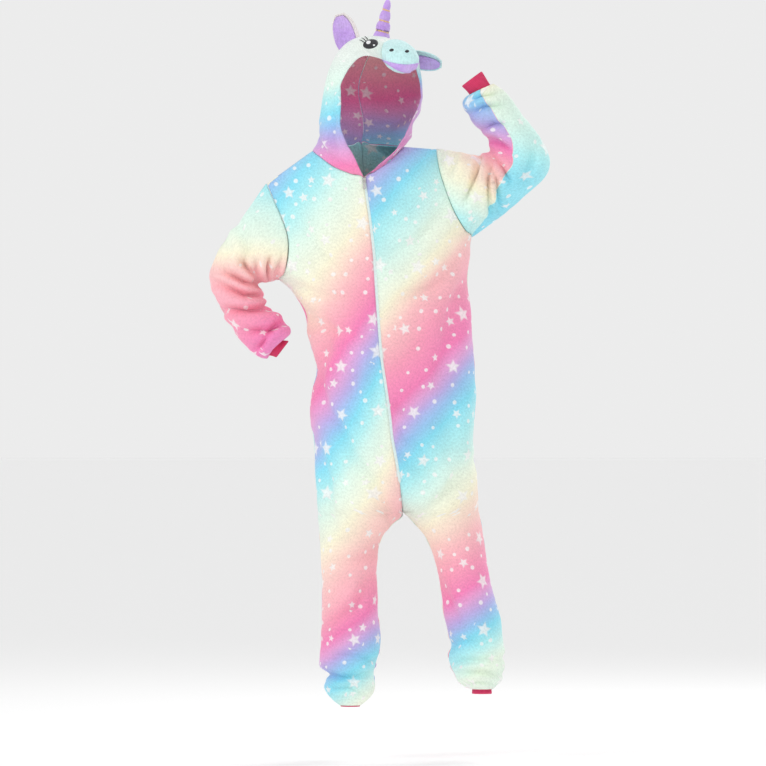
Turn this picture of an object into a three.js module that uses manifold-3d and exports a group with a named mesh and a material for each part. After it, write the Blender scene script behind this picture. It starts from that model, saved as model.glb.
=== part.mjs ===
// Hooded unicorn onesie in fleece, hollow as it is when worn: one hand on the hip, the other raised.
// Millimetres. +X is the wearer's left, +Y is behind, +Z is up. The origin is between the shoulders,
// at the base of the neck, where the garment hangs on its wearer.

import * as THREE from 'three';
import { mergeVertices } from 'three/addons/utils/BufferGeometryUtils.js';
import Module from 'manifold-3d';

const wasm = await Module();
wasm.setup();

// Driving dimensions
const FLEECE = 2.5;             // thickness of the pile fabric
const RIB = 2.5;                // thickness of the folded rib knit
const SEAM_GAP = 0.4;           // space between two sewn edges
const ZIP_WIDTH = 8;            // closed chain with the tape that shows beside it
const ZIP_END_ROW = 23;         // body row at the foot of the zip
const CHAIN_START = 0.35;       // of the way down the first zip row, under the slider
const PANEL_COLUMNS = 5;         // faces across a body panel
const CUFF_SIDES = 12;
const MUZZLE_SIDES = 14;
const EAR_COLUMNS = 4;
const ZIP_TAIL = 4;              // the chain stops this far above the crotch seam
const YOKE_STEPS = 2;           // rows made from each yoke row
const CUFF_TUCK = 12;           // how far a cuff reaches up inside its sleeve or leg
const HOOD_HEADING = 20;        // degrees that the head is turned to the wearer's left
const HOOD_TILT = 11;           // degrees that the head leans to the wearer's left
const HOOD_BASE = new THREE.Vector3(2, 0, 0);
const LEVEL_BELOW = 20;         // hood rings sit square on the body up to here,
const TURNED_ABOVE = 150;       // and turn and lean fully with the head from here
const APPLIQUE = 1.4;           // thickness of the sewn-on eyes, nostrils and mouth

const radians = THREE.MathUtils.degToRad;
const sine = (degrees) => Math.sin(radians(degrees));
const cosine = (degrees) => Math.cos(radians(degrees));
const mix = THREE.MathUtils.lerp;

// A table: the names of its columns, then one row of values for each section.
function table(columns, rows) {
  const names = columns.split(' ');
  return rows.map((values) => Object.fromEntries(names.map((name, i) => [name, values[i]])));
}

// Body, shoulder seam to armpit. Each row runs from the neckline (or the zip and the back seam) to the
// armhole. front and back are how far it stands out, and end is the angle at which the armhole cuts it.
const YOKE_COLUMNS = 'neck_x neck_z nape_x nape_z arm_x arm_z front back end';
const YOKE = {
  right: table(YOKE_COLUMNS, [
    [-113, 9, -113, 9, -219, -68, 0, 0, 90],
    [-94, -7, -90, 15, -206, -100, 45, 38, 66],
    [-60, -32, -55, 21, -190, -137, 78, 62, 58],
    [-19, -49, -20, 26, -172, -185, 98, 79, 52],
    [9.5, -58, 2, 27, -168, -225, 104, 84, 50],
    [17, -110, 8, -60, -172, -258, 118, 102, 56],
    [26, -175, 18, -150, -180, -280, 128, 116, 70],
    [33, -237, 32, -225, -191, -292, 134, 122, 90],
  ]),
  left: table(YOKE_COLUMNS, [
    [103, 19, 103, 19, 181, 13, 0, 0, 90],
    [88, 1, 82, 22, 184, -16, 45, 38, 66],
    [60, -24, 52, 25, 190, -46, 78, 62, 58],
    [32, -44, 26, 27, 205, -92, 97, 79, 54],
    [9.5, -58, 2, 27, 220, -130, 104, 84, 54],
    [17, -110, 8, -60, 236, -160, 118, 102, 60],
    [26, -175, 18, -150, 249, -179, 128, 116, 72],
    [33, -237, 32, -225, 262, -192, 134, 122, 90],
  ]),
};

// Body, armpit to crotch. zip_x and spine_x are the centre front and the back seam. turn is the angle
// at which the seam starts: 0 at the zip, down to -90 under the crotch.
const TRUNK = table('z zip_x spine_x right_x right_z left_x left_z front back turn', [
  [-300, 37, 45, -162, -318, 257, -245, 137, 125, 0],
  [-360, 41, 60, -131, -372, 255, -320, 137, 124, 0],
  [-425, 46, 84, -118, -428, 261, -405, 134, 122, 0],
  [-482, 51, 100, -104, -482, 268, -478, 132, 122, 0],
  [-555, 62, 106, -110, -555, 273, -555, 132, 128, 0],
  [-613, 70, 104, -116, -613, 270, -613, 130, 135, 0],
  [-660, 75, 101, -111, -660, 268, -660, 127, 138, 0],
  [-710, 84, 99, -107, -710, 269, -710, 123, 138, 0],
  [-764, 93, 98, -102, -764, 273, -764, 116, 132, 0],
  [-795, 96, 99, -99, -795, 276, -795, 112, 126, -22],
  [-820, 99, 100, -98, -820, 279, -820, 108, 120, -48],
  [-840, 101, 101, -96, -840, 281, -840, 105, 114, -76],
]);

// Legs, crotch to hem, with the fullness that folds over the ankle.
const LEG_COLUMNS = 'z inner_x outer_x front back';
const LEG = {
  right: table(LEG_COLUMNS, [
    [-853, 94, -96, 103, 110],
    [-875, 69, -95, 95, 102],
    [-909, 48, -94, 86, 92],
    [-970, 39, -91, 78, 84],
    [-1020, 41, -89, 74, 80],
    [-1085, 43, -89, 71, 76],
    [-1128, 49, -91, 71, 76],
    [-1165, 46, -93, 71, 75],
    [-1203, 35, -93, 66, 70],
    [-1224, 33, -75, 57, 61],
    [-1246, 36, -84, 62, 65],
    [-1264, 32, -77, 56, 58],
    [-1281, 18, -64, 42, 43],
    [-1293, 3, -49, 26, 27],
  ]),
  left: table(LEG_COLUMNS, [
    [-853, 117, 283, 101, 108],
    [-875, 136, 287, 93, 99],
    [-909, 160, 292, 84, 90],
    [-970, 180, 301, 77, 83],
    [-1020, 189, 311, 73, 80],
    [-1085, 199, 330, 72, 77],
    [-1128, 208, 335, 71, 76],
    [-1152, 214, 338, 69, 74],
    [-1180, 208, 339, 70, 74],
    [-1202, 213, 338, 66, 70],
    [-1220, 222, 336, 62, 66],
    [-1236, 229, 331, 56, 59],
    [-1248, 244, 319, 42, 44],
    [-1255, 259, 312, 27, 28],
  ]),
};

// Sleeves, armhole to cuff seam. Each ring is an ellipse: top to under is its long axis, depth its
// half width from front to back, and y how far back its middle lies.
const SLEEVE_COLUMNS = 'top_x top_z under_x under_z y depth';
const SLEEVE = {
  right: table(SLEEVE_COLUMNS, [
    [-256, -122, -205, -293, 4, 76],
    [-290, -170, -217, -292, 12, 74],
    [-325, -217, -227, -296, 22, 70],
    [-347, -265, -233, -304, 30, 66],
    [-345, -308, -236, -318, 30, 64],
    [-328, -350, -233, -338, 24, 62],
    [-304, -394, -219, -360, 14, 60],
    [-276, -436, -196, -378, 2, 57],
    [-250, -462, -175, -398, -8, 52],
    [-232, -474, -166, -420, -14, 42],
    [-217, -475, -192, -430, -18, 27],
  ]),
  left: table(SLEEVE_COLUMNS, [
    [218, 6, 298, -166, -4, 78],
    [252, -1, 344, -130, -14, 75],
    [281, -6, 392, -88, -26, 70],
    [301, -1, 430, -54, -38, 65],
    [309, 10, 442, -24, -46, 62],
    [308, 26, 434, 8, -52, 60],
    [298, 44, 410, 50, -58, 58],
    [275, 67, 377, 90, -64, 55],
    [255, 94, 347, 133, -70, 49],
    [243, 118, 325, 153, -73, 42],
    [254, 134, 310, 161, -75, 31],
  ]),
};

// Cuffs: the two ends of each rib tube, measured over its outside. The tuck is added inside.
const CUFF_COLUMNS = 'name seam_a_x seam_a_z seam_b_x seam_b_z end_a_x end_a_z end_b_x end_b_z y depth';
const CUFFS = table(CUFF_COLUMNS, [
  ['wrist_cuff_right', -213, -471, -194, -435, -196, -476, -167, -437, -18, 23],
  ['wrist_cuff_left', 258, 137, 306, 159, 238, 158, 285, 193, -76, 27],
  ['ankle_cuff_right', -46, -1290, 0, -1290, -46, -1296, 0, -1296, 0, 23],
  ['ankle_cuff_left', 262, -1252, 309, -1252, 263, -1266, 310, -1266, 0, 24],
]);

// Hood rings, in the head's own frame: f forward, h up. Each ring runs from the seam on top or at the
// back (seam_f, seam_h) towards the face (face_f, face_h), and each side stops at its own rim angle.
const HOOD = table('seam_f seam_h face_f face_h right left rim_right rim_left', [
  [-95, 64, 101, -4, 106, 104, 13, 44],
  [-103, 91, 101, 20, 108, 109, 26, 55],
  [-109, 120, 102, 52, 110, 114, 42, 57],
  [-112, 150, 106, 88, 112, 118, 52, 57],
  [-110, 180, 112, 122, 113, 119, 59, 59],
  [-100, 208, 116, 150, 112, 114, 60, 60],
  [-78, 242, 118, 172, 108, 104, 58, 58],
  [-42, 269, 119, 188, 100, 90, 56, 56],
  [2, 280, 120, 199, 91, 78, 54, 54],
  [46, 279, 121, 205, 77, 66, 52, 52],
  [79, 267, 121, 208, 59, 53, 50, 50],
  [102, 246, 121, 210, 39, 37, 50, 50],
  [115, 226, 121, 212, 16, 16, 50, 50],
]);

// Muzzle sections along its own axis, which starts inside the head and dips forward.
const MUZZLE_START = { u: 8, f: 84, h: 246 };
const MUZZLE_DIP = 20;
const MUZZLE = table('along width height', [
  [0, 38, 30],
  [30, 42, 34],
  [50, 43, 35],
  [66, 41, 33],
  [80, 35, 28],
  [89, 26, 21],
  [94, 13, 11],
]);

// What is sewn onto the hood and muzzle: where its middle lies in the head's frame, its size, how its
// long axis tilts and which way it looks beside straight ahead. depth is how far its cutter reaches.
const PATCHES = table('name u f h width height tilt turn depth', [
  ['eye_right', -52, 80, 250, 36, 23, 18, -25, 110],
  ['eye_left', 62, 72, 250, 36, 23, 2, 30, 110],
  ['nostril_right', -26, 160, 240, 9, 6, 10, 0, 60],
  ['nostril_left', 10, 160, 246, 9, 6, 10, 0, 60],
]);
const MOUTH = {
  f: 165,
  h: 224,
  half: 40,
  corner: -1,
  middle_top: -14,
  corner_low: -7,
  middle_low: -30,
  depth: 75,
  steps: 12,
};

// Horn: four stuffed rolls, each pinched where the thread is wound. Heights from its foot.
const HORN_FOOT = { u: -10, f: 22, h: 260 };
const HORN_LEAN = { u: -0.04, f: 0.1 };      // for each unit up
const HORN_SIDES = 14;
const HORN_TIP = 109;
const HORN_PROFILE = table('radius height', [
  [18, 0],
  [19, 12],
  [18, 24],
  [15.5, 33],
  [16, 40],
  [15, 50],
  [11.5, 58],
  [12.5, 66],
  [11, 77],
  [8.2, 84],
  [8.6, 92],
  [6.5, 103],
  [3, 108],
]);
const HORN_BANDS = table('height radius', [
  [33, 17.2],
  [58, 13.2],
  [84, 9.9],
]);
const BAND_THREAD = 1.3;

// Ears: folded leaves. base and tip in space, face is the way the hollow side looks.
const EAR = {
  right: {
    base: new THREE.Vector3(-22, 2, 240),
    tip: new THREE.Vector3(-48, -6, 330),
    face: new THREE.Vector3(-0.45, -0.88, 0),
    width: 31,
  },
  left: {
    base: new THREE.Vector3(112, 10, 226),
    tip: new THREE.Vector3(190, -6, 212),
    face: new THREE.Vector3(-0.1, -0.75, -0.65),
    width: 27,
  },
};
const EAR_OUTLINE = [0.62, 0.85, 0.98, 1, 0.93, 0.76, 0.5, 0.2];
const EAR_CUP = 0.5;            // depth of the hollow, as a part of the half width
const EAR_WALL = 3;
const EAR_LINING = 1.8;

// Zip slider and pull
const SLIDER_DROP = 5;          // from the top of the zip to the slider's middle
// Front plate, back plate, the neck between them, the bridge's two posts and its bar
const SLIDER_PARTS = table('width depth height y z', [
  [8, 1.6, 11, -1.8, 0],
  [6, 1.6, 11, 4.3, 0],
  [4, 6, 1.8, 1.2, 4.6],
  [2, 3.6, 1.6, -4.2, 3.4],
  [2, 3.6, 1.6, -4.2, -2.6],
  [2, 1.4, 7.6, -5.8, 0.4],
]);
const PULL_AXIS = { y: -4.1, z: 0.6 };      // where the pull turns, in the slider's frame
const PULL_EYE = 2.4;
const PULL_RING = 3.4;
const PULL_NECK = 2.2;
const PULL_SHOULDER = 6;        // from the eye to where the drop starts to widen
const PULL_LENGTH = 18;         // from the eye to the middle of the drop's round end
const PULL_WIDTH = 7;
const PULL_THICK = 1.2;

const COLOURS = {
  fleece: 0xb9e6ee,
  lilac: 0xb98ae2,
  aqua: 0xc6f0ee,
  rib: 0xe63a6c,
  thread: 0xe9b48a,
  black: 0x17161a,
  nickel: 0xb9bcc2,
  tape: 0xdff2f4,
};

const group = new THREE.Group();

function add(name, geometry, colour, metalness = 0) {
  const material = new THREE.MeshStandardMaterial({ color: colour, roughness: 0.9, metalness });
  const mesh = new THREE.Mesh(geometry, material);
  mesh.name = name;
  group.add(mesh);
  return mesh;
}

// Values between table rows, on a smooth curve through them.
function between(rows, position) {
  const last = rows.length - 1;
  const i = Math.min(Math.floor(position), last - 1);
  const t = position - i;
  const [a, b, c, d] = [-1, 0, 1, 2].map((k) => rows[THREE.MathUtils.clamp(i + k, 0, last)]);
  const smooth = (name) => {
    const slopeIn = (c[name] - a[name]) / 2;
    const slopeOut = (d[name] - b[name]) / 2;
    const rise = c[name] - b[name];
    const bend = 3 * rise - 2 * slopeIn - slopeOut;
    return b[name] + t * (slopeIn + t * (bend + t * (slopeIn + slopeOut - 2 * rise)));
  };
  return Object.fromEntries(Object.keys(b).map((name) => [name, smooth(name)]));
}

// All rows of one side of the body, shoulder to hem, with the same columns.
function bodyRows(side) {
  const yoke = YOKE[side].map((row) => ({
    front_x: row.neck_x,
    front_z: row.neck_z,
    back_x: row.nape_x,
    back_z: row.nape_z,
    side_x: row.arm_x,
    side_z: row.arm_z,
    front: row.front,
    back: row.back,
    turn: 0,
    end: row.end,
  }));
  const trunk = TRUNK.map((row) => ({
    front_x: row.zip_x,
    front_z: row.z,
    back_x: row.spine_x,
    back_z: row.z,
    side_x: row[`${side}_x`],
    side_z: row[`${side}_z`],
    front: row.front,
    back: row.back,
    turn: row.turn,
    end: 90,
  }));
  const leg = LEG[side].map((row) => ({
    front_x: row.inner_x,
    front_z: row.z,
    back_x: row.inner_x,
    back_z: row.z,
    side_x: row.outer_x,
    side_z: row.z,
    front: row.front,
    back: row.back,
    turn: -90,
    end: 90,
  }));
  const upper = [];
  for (let step = 0; step < (yoke.length - 1) * YOKE_STEPS; step += 1) {
    upper.push(between(yoke, step / YOKE_STEPS));
  }
  return [...upper, yoke[yoke.length - 1], ...trunk, ...leg];
}

const ARMPIT_ROW = (YOKE.right.length - 1) * YOKE_STEPS;
const NECK_ROW = 4 * YOKE_STEPS;            // where the neckline meets the zip
const CROTCH_ROW = ARMPIT_ROW + TRUNK.length;

// Both sides meet on the same zip line and back seam.
function shareCentre(right, left) {
  for (let i = NECK_ROW; i <= CROTCH_ROW; i += 1) {
    for (const name of ['front_x', 'front_z', 'back_x', 'back_z']) {
      const middle = (right[i][name] + left[i][name]) / 2;
      right[i][name] = middle;
      left[i][name] = middle;
    }
  }
}

// A front (-1) or back (1) panel: points from the centre seam or inseam round to the side.
function panelGrid(rows, face) {
  return rows.map((row) => {
    const seamX = face < 0 ? row.front_x : row.back_x;
    const seamZ = face < 0 ? row.front_z : row.back_z;
    const depth = face < 0 ? row.front : row.back;
    const start = sine(row.turn);
    const span = sine(Math.min(row.end, 90)) - start;
    const points = [];
    for (let column = 0; column <= PANEL_COLUMNS; column += 1) {
      const angle = mix(row.turn, Math.min(row.end, 90), column / PANEL_COLUMNS);
      const across = (sine(angle) - start) / span;
      points.push(new THREE.Vector3(
        mix(seamX, row.side_x, across),
        face * depth * cosine(angle),
        mix(seamZ, row.side_z, across),
      ));
    }
    return points;
  });
}

// The armhole edges of both panels, then the elliptical rings down the arm.
function sleeveGrid(front, back, side) {
  const last = PANEL_COLUMNS;
  const down = front.slice(0, ARMPIT_ROW + 1).map((row) => row[last]);
  const up = back.slice(1, ARMPIT_ROW).map((row) => row[last]).reverse();
  const rings = SLEEVE[side].map((row) => down.concat(up).map((point, k) => {
    const angle = 180 * k / ARMPIT_ROW;
    const middleX = (row.top_x + row.under_x) / 2;
    const middleZ = (row.top_z + row.under_z) / 2;
    return new THREE.Vector3(
      middleX + (row.top_x - middleX) * cosine(angle),
      row.y - row.depth * sine(angle),
      middleZ + (row.top_z - middleZ) * cosine(angle),
    );
  }));
  return [down.concat(up).map((point) => point.clone()), ...rings];
}

// A direction in the head's own frame (u to the wearer's left, f forward, h up), in the garment's.
function headDirection(u, f, h, tilt, heading) {
  const leaned = new THREE.Vector3(u, -f, h).applyAxisAngle(new THREE.Vector3(0, 1, 0), radians(tilt));
  return leaned.applyAxisAngle(new THREE.Vector3(0, 0, 1), radians(heading));
}

const fromHead = (u, f, h) => headDirection(u, f, h, HOOD_TILT, HOOD_HEADING).add(HOOD_BASE);

function hoodPoint(ring, side, angle) {
  const middleF = (ring.seam_f + ring.face_f) / 2;
  const middleH = (ring.seam_h + ring.face_h) / 2;
  const width = side === 'right' ? -ring.right : ring.left;
  const turned = THREE.MathUtils.smoothstep(middleH, LEVEL_BELOW, TURNED_ABOVE);
  return headDirection(
    width * sine(angle),
    (ring.face_f - middleF) * cosine(angle),
    (ring.face_h - middleH) * cosine(angle),
    HOOD_TILT * turned,
    HOOD_HEADING * turned,
  ).add(fromHead(0, middleF, middleH));
}

// Half a hood: the neckline of the two panels, then rings that close over the head.
function hoodGrid(front, back, side) {
  const nape = back.slice(0, NECK_ROW + 1).map((row) => row[0].clone()).reverse();
  const throat = front.slice(1, NECK_ROW + 1).map((row) => row[0].clone());
  const neckline = nape.concat(throat);
  const last = neckline.length - 1;
  const rings = HOOD.map((ring) => neckline.map((point, k) => (
    hoodPoint(ring, side, mix(180, ring[`rim_${side}`], k / last))
  )));
  return [neckline, ...rings];
}

const placeKey = (point) => point.toArray().map((value) => Math.round(value * 50)).join(' ');

// Normals where pieces are sewn together are shared, so that two walls meet edge to edge.
const sewnNormals = new Map();

function cells(grid, closed) {
  const list = [];
  for (let i = 0; i < grid.length - 1; i += 1) {
    const count = grid[i].length;
    for (let j = 0; j < (closed ? count : count - 1); j += 1) {
      list.push([i, j, i + 1, (j + 1) % count]);
    }
  }
  return list;
}

function gatherNormals({ grid, closed, flip }) {
  for (const [i, j, below, next] of cells(grid, closed)) {
    const corners = [grid[i][j], grid[i][next], grid[below][next], grid[below][j]];
    const across = corners[2].clone().sub(corners[0]);
    const along = corners[3].clone().sub(corners[1]);
    const normal = across.cross(along).multiplyScalar(flip ? -1 : 1);
    for (const corner of corners) {
      const key = placeKey(corner);
      if (!sewnNormals.has(key)) sewnNormals.set(key, new THREE.Vector3());
      sewnNormals.get(key).add(normal);
    }
  }
}

// Moves a piece's edges inwards, square to the seam, by the given amounts to leave the seam gaps.
function inset({ grid, closed, edges }) {
  const bottom = grid.length - 1;
  const end = grid[0].length - 1;
  const wrapped = (j) => (closed ? (j + end + 1) % (end + 1) : THREE.MathUtils.clamp(j, 0, end));
  const square = (from, to, before, after, amount) => {
    const tangent = after.clone().sub(before).normalize();
    const step = to.clone().sub(from);
    return step.addScaledVector(tangent, -step.dot(tangent)).setLength(amount);
  };
  const fromRow = (i, j, inner, amount) => (
    square(grid[i][j], grid[inner][j], grid[i][wrapped(j - 1)], grid[i][wrapped(j + 1)], amount)
  );
  const fromColumn = (i, j, inner, amount) => (
    square(grid[i][j], grid[i][inner], grid[Math.max(i - 1, 0)][j], grid[Math.min(i + 1, bottom)][j], amount)
  );
  return grid.map((row, i) => row.map((point, j) => {
    const moved = point.clone();
    if (i === 0 && edges.top) moved.add(fromRow(i, j, 1, edges.top));
    if (i === bottom && edges.bottom) moved.add(fromRow(i, j, bottom - 1, edges.bottom));
    if (!closed && j === 0 && edges.start(i)) moved.add(fromColumn(i, j, 1, edges.start(i)));
    if (!closed && j === end && edges.end(i)) moved.add(fromColumn(i, j, end - 1, edges.end(i)));
    return moved;
  }));
}

// A closed body from points and triangles: shared points merged, empty triangles dropped.
function closedGeometry(points, triangles) {
  const raw = new THREE.BufferGeometry();
  const values = points.flatMap((point) => point.toArray());
  raw.setAttribute('position', new THREE.Float32BufferAttribute(values, 3));
  raw.setIndex(triangles.flat());
  const merged = mergeVertices(raw, 1e-3);
  const index = merged.getIndex().array;
  const kept = [];
  for (let k = 0; k < index.length; k += 3) {
    const [a, b, c] = [index[k], index[k + 1], index[k + 2]];
    if (a !== b && b !== c && c !== a) kept.push(a, b, c);
  }
  merged.setIndex(kept);
  return merged;
}

// The wall of a cloth piece: its outer face, its inner face one thickness in, and the rims.
function clothWall(piece, thickness) {
  const outer = inset(piece);
  const rows = outer.length;
  const columns = outer[0].length;
  const inner = outer.map((row, i) => row.map((point, j) => {
    const normal = sewnNormals.get(placeKey(piece.grid[i][j])).clone().normalize();
    return point.clone().addScaledVector(normal, -thickness);
  }));
  const points = outer.flat().concat(inner.flat());
  const at = (layer, i, j) => layer * rows * columns + i * columns + j;
  const triangles = [];
  const quad = (a, b, c, d) => {
    triangles.push(piece.flip ? [a, c, b] : [a, b, c], piece.flip ? [a, d, c] : [a, c, d]);
  };
  for (const [i, j, below, next] of cells(outer, piece.closed)) {
    quad(at(0, i, j), at(0, i, next), at(0, below, next), at(0, below, j));
    quad(at(1, i, j), at(1, below, j), at(1, below, next), at(1, i, next));
  }
  for (let j = 0; j < (piece.closed ? columns : columns - 1); j += 1) {
    const next = (j + 1) % columns;
    quad(at(0, 0, next), at(0, 0, j), at(1, 0, j), at(1, 0, next));
    quad(at(0, rows - 1, j), at(0, rows - 1, next), at(1, rows - 1, next), at(1, rows - 1, j));
  }
  if (!piece.closed) {
    for (let i = 0; i < rows - 1; i += 1) {
      quad(at(0, i, 0), at(0, i + 1, 0), at(1, i + 1, 0), at(1, i, 0));
      const end = columns - 1;
      quad(at(0, i + 1, end), at(0, i, end), at(1, i, end), at(1, i + 1, end));
    }
  }
  return closedGeometry(points, triangles);
}

// Body, sleeves and hood
const half = SEAM_GAP / 2;
const zipEdge = (i) => (i >= NECK_ROW && i <= ZIP_END_ROW ? ZIP_WIDTH / 2 + 2 * SEAM_GAP : half);
const plain = () => half;
const armEdge = (i) => (i <= ARMPIT_ROW ? SEAM_GAP : half);
const open = () => 0;
const pieces = [];
const fronts = {};
const body = { right: bodyRows('right'), left: bodyRows('left') };
shareCentre(body.right, body.left);

for (const side of ['right', 'left']) {
  const front = panelGrid(body[side], -1);
  const back = panelGrid(body[side], 1);
  const mirrored = side === 'left';
  fronts[side] = front;
  pieces.push({
    name: `front_${side}`,
    grid: front,
    flip: mirrored,
    edges: { top: half, start: zipEdge, end: armEdge },
  });
  pieces.push({
    name: `back_${side}`,
    grid: back,
    flip: !mirrored,
    edges: { top: half, start: plain, end: armEdge },
  });
  pieces.push({
    name: `sleeve_${side}`,
    grid: sleeveGrid(front, back, side),
    flip: !mirrored,
    closed: true,
    edges: { top: SEAM_GAP },
  });
  const throat = (i) => (i === 0 ? ZIP_WIDTH / 2 + 2 * SEAM_GAP : 0);
  pieces.push({
    name: `hood_${side}`,
    grid: hoodGrid(front, back, side),
    flip: mirrored,
    edges: { top: half, start: plain, end: throat },
  });
}
pieces.forEach(gatherNormals);
for (const piece of pieces) {
  add(piece.name, clothWall(piece, FLEECE), COLOURS.fleece);
}

// Zip: the closed chain between the two fronts, from under the slider down
const zipLine = fronts.right.slice(NECK_ROW, ZIP_END_ROW + 1).map((row) => row[0]);
const chain = zipLine.map((point, i) => {
  const normal = sewnNormals.get(placeKey(zipLine[Math.max(i, 1)])).clone().normalize();
  const across = new THREE.Vector3(0, 0, 1).cross(normal).setLength(ZIP_WIDTH / 2);
  const middle = point.clone().lerp(zipLine[1], i === 0 ? CHAIN_START : 0);
  return [middle.clone().sub(across), middle.clone().add(across)];
});
const chainPiece = { grid: chain, flip: true, edges: { bottom: ZIP_TAIL, start: open, end: open } };
gatherNormals(chainPiece);
add('zip_chain', clothWall(chainPiece, FLEECE), COLOURS.tape);

// Cuffs: rib tubes that come out of the sleeves and legs
function cuffRing(a, b, cuff) {
  return Array.from({ length: CUFF_SIDES }, (_, k) => {
    const angle = 360 * k / CUFF_SIDES;
    return new THREE.Vector3(
      (a.x + b.x) / 2 + (a.x - b.x) / 2 * cosine(angle),
      cuff.y - cuff.depth * sine(angle),
      (a.z + b.z) / 2 + (a.z - b.z) / 2 * cosine(angle),
    );
  });
}

for (const cuff of CUFFS) {
  const seamA = new THREE.Vector3(cuff.seam_a_x, 0, cuff.seam_a_z);
  const seamB = new THREE.Vector3(cuff.seam_b_x, 0, cuff.seam_b_z);
  const endA = new THREE.Vector3(cuff.end_a_x, 0, cuff.end_a_z);
  const endB = new THREE.Vector3(cuff.end_b_x, 0, cuff.end_b_z);
  const tuck = seamA.clone().add(seamB).sub(endA).sub(endB).setLength(CUFF_TUCK);
  const grid = [
    cuffRing(seamA.clone().add(tuck), seamB.clone().add(tuck), cuff),
    cuffRing(seamA, seamB, cuff),
    cuffRing(endA, endB, cuff),
  ];
  const toSide = grid[0][CUFF_SIDES / 4].clone().sub(grid[0][0]);
  const toFar = grid[0][CUFF_SIDES / 2].clone().sub(grid[0][0]);
  const piece = { grid, closed: true, flip: toSide.cross(toFar).dot(tuck) > 0, edges: {} };
  gatherNormals(piece);
  add(cuff.name, clothWall(piece, RIB), COLOURS.rib);
}

// Solids for cutting what is sewn onto the head
function toManifold(geometry) {
  const vertProperties = new Float32Array(geometry.getAttribute('position').array);
  const triVerts = new Uint32Array(geometry.getIndex().array);
  return new wasm.Manifold(new wasm.Mesh({ numProp: 3, vertProperties, triVerts }));
}

function toGeometry(solid) {
  const mesh = solid.getMesh();
  const geometry = new THREE.BufferGeometry();
  geometry.setAttribute('position', new THREE.Float32BufferAttribute(mesh.vertProperties, 3));
  geometry.setIndex(Array.from(mesh.triVerts));
  return geometry;
}

function plainManifold(geometry) {
  geometry.deleteAttribute('normal');
  geometry.deleteAttribute('uv');
  return toManifold(mergeVertices(geometry, 1e-3));
}

// A stack of closed rings, capped at both ends, grown outwards from their middles.
function stack(rings, grow) {
  const count = rings[0].length;
  const points = [];
  for (const ring of rings) {
    const middle = ring.reduce((sum, point) => sum.add(point), new THREE.Vector3()).divideScalar(count);
    for (const point of ring) {
      const out = point.clone().sub(middle);
      points.push(middle.clone().addScaledVector(out, 1 + grow / out.length()));
    }
    ring.middle = middle;
  }
  const triangles = [];
  for (let i = 0; i < rings.length - 1; i += 1) {
    for (let j = 0; j < count; j += 1) {
      const next = (j + 1) % count;
      triangles.push([i * count + j, i * count + next, (i + 1) * count + next]);
      triangles.push([i * count + j, (i + 1) * count + next, (i + 1) * count + j]);
    }
  }
  const foot = points.push(rings[0].middle) - 1;
  const head = points.push(rings[rings.length - 1].middle) - 1;
  const top = (rings.length - 1) * count;
  for (let j = 0; j < count; j += 1) {
    const next = (j + 1) % count;
    triangles.push([foot, next, j]);
    triangles.push([head, top + j, top + next]);
  }
  const geometry = closedGeometry(points, triangles);
  const solid = toManifold(geometry);
  if (solid.volume() > 0) return solid;
  return toManifold(closedGeometry(points, triangles.map(([a, b, c]) => [a, c, b])));
}

const hoodColumns = 2 * NECK_ROW;
function headSolid(grow) {
  const rings = HOOD.map((ring) => {
    const right = [];
    const left = [];
    for (let k = 0; k <= hoodColumns; k += 1) {
      right.push(hoodPoint(ring, 'right', mix(180, ring.rim_right, k / hoodColumns)));
      if (k > 0) left.push(hoodPoint(ring, 'left', mix(180, ring.rim_left, k / hoodColumns)));
    }
    const faceRight = [0.66, 0.33].map((t) => hoodPoint(ring, 'right', ring.rim_right * t));
    const faceLeft = [0, 0.33, 0.66].map((t) => hoodPoint(ring, 'left', ring.rim_left * t));
    return [...right, ...faceRight, ...faceLeft, ...left.reverse()];
  });
  return stack(rings, grow);
}

function muzzleSolid(grow) {
  const rings = MUZZLE.map(({ along, width, height }) => Array.from({ length: MUZZLE_SIDES }, (_, k) => {
    const angle = 360 * k / MUZZLE_SIDES;
    const raised = height * sine(angle);
    const f = MUZZLE_START.f + along * cosine(MUZZLE_DIP) + raised * sine(MUZZLE_DIP);
    const h = MUZZLE_START.h - along * sine(MUZZLE_DIP) + raised * cosine(MUZZLE_DIP);
    return fromHead(MUZZLE_START.u + width * cosine(angle), f, h);
  }));
  return stack(rings, grow);
}

const headFace = headSolid(SEAM_GAP);
add('muzzle', toGeometry(muzzleSolid(0).subtract(headFace)), COLOURS.aqua);

// A flat-sided plug along the head's forward direction, to cut out an applique by its outline.
function plug(outline, depth, place, turn) {
  const shape = new THREE.Shape(outline.map(([x, y]) => new THREE.Vector2(x, y)));
  const geometry = new THREE.ExtrudeGeometry(shape, { depth, bevelEnabled: false, curveSegments: 8 });
  geometry.translate(0, 0, -depth / 2);
  geometry.rotateX(Math.PI / 2);
  geometry.rotateZ(radians(turn));
  geometry.translate(place.x, place.y, place.z);
  return plainManifold(geometry);
}

function oval(width, height, tilt) {
  return Array.from({ length: 12 }, (_, k) => {
    const x = width / 2 * cosine(30 * k);
    const y = height / 2 * sine(30 * k);
    return [x * cosine(tilt) - y * sine(tilt), x * sine(tilt) + y * cosine(tilt)];
  });
}

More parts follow.
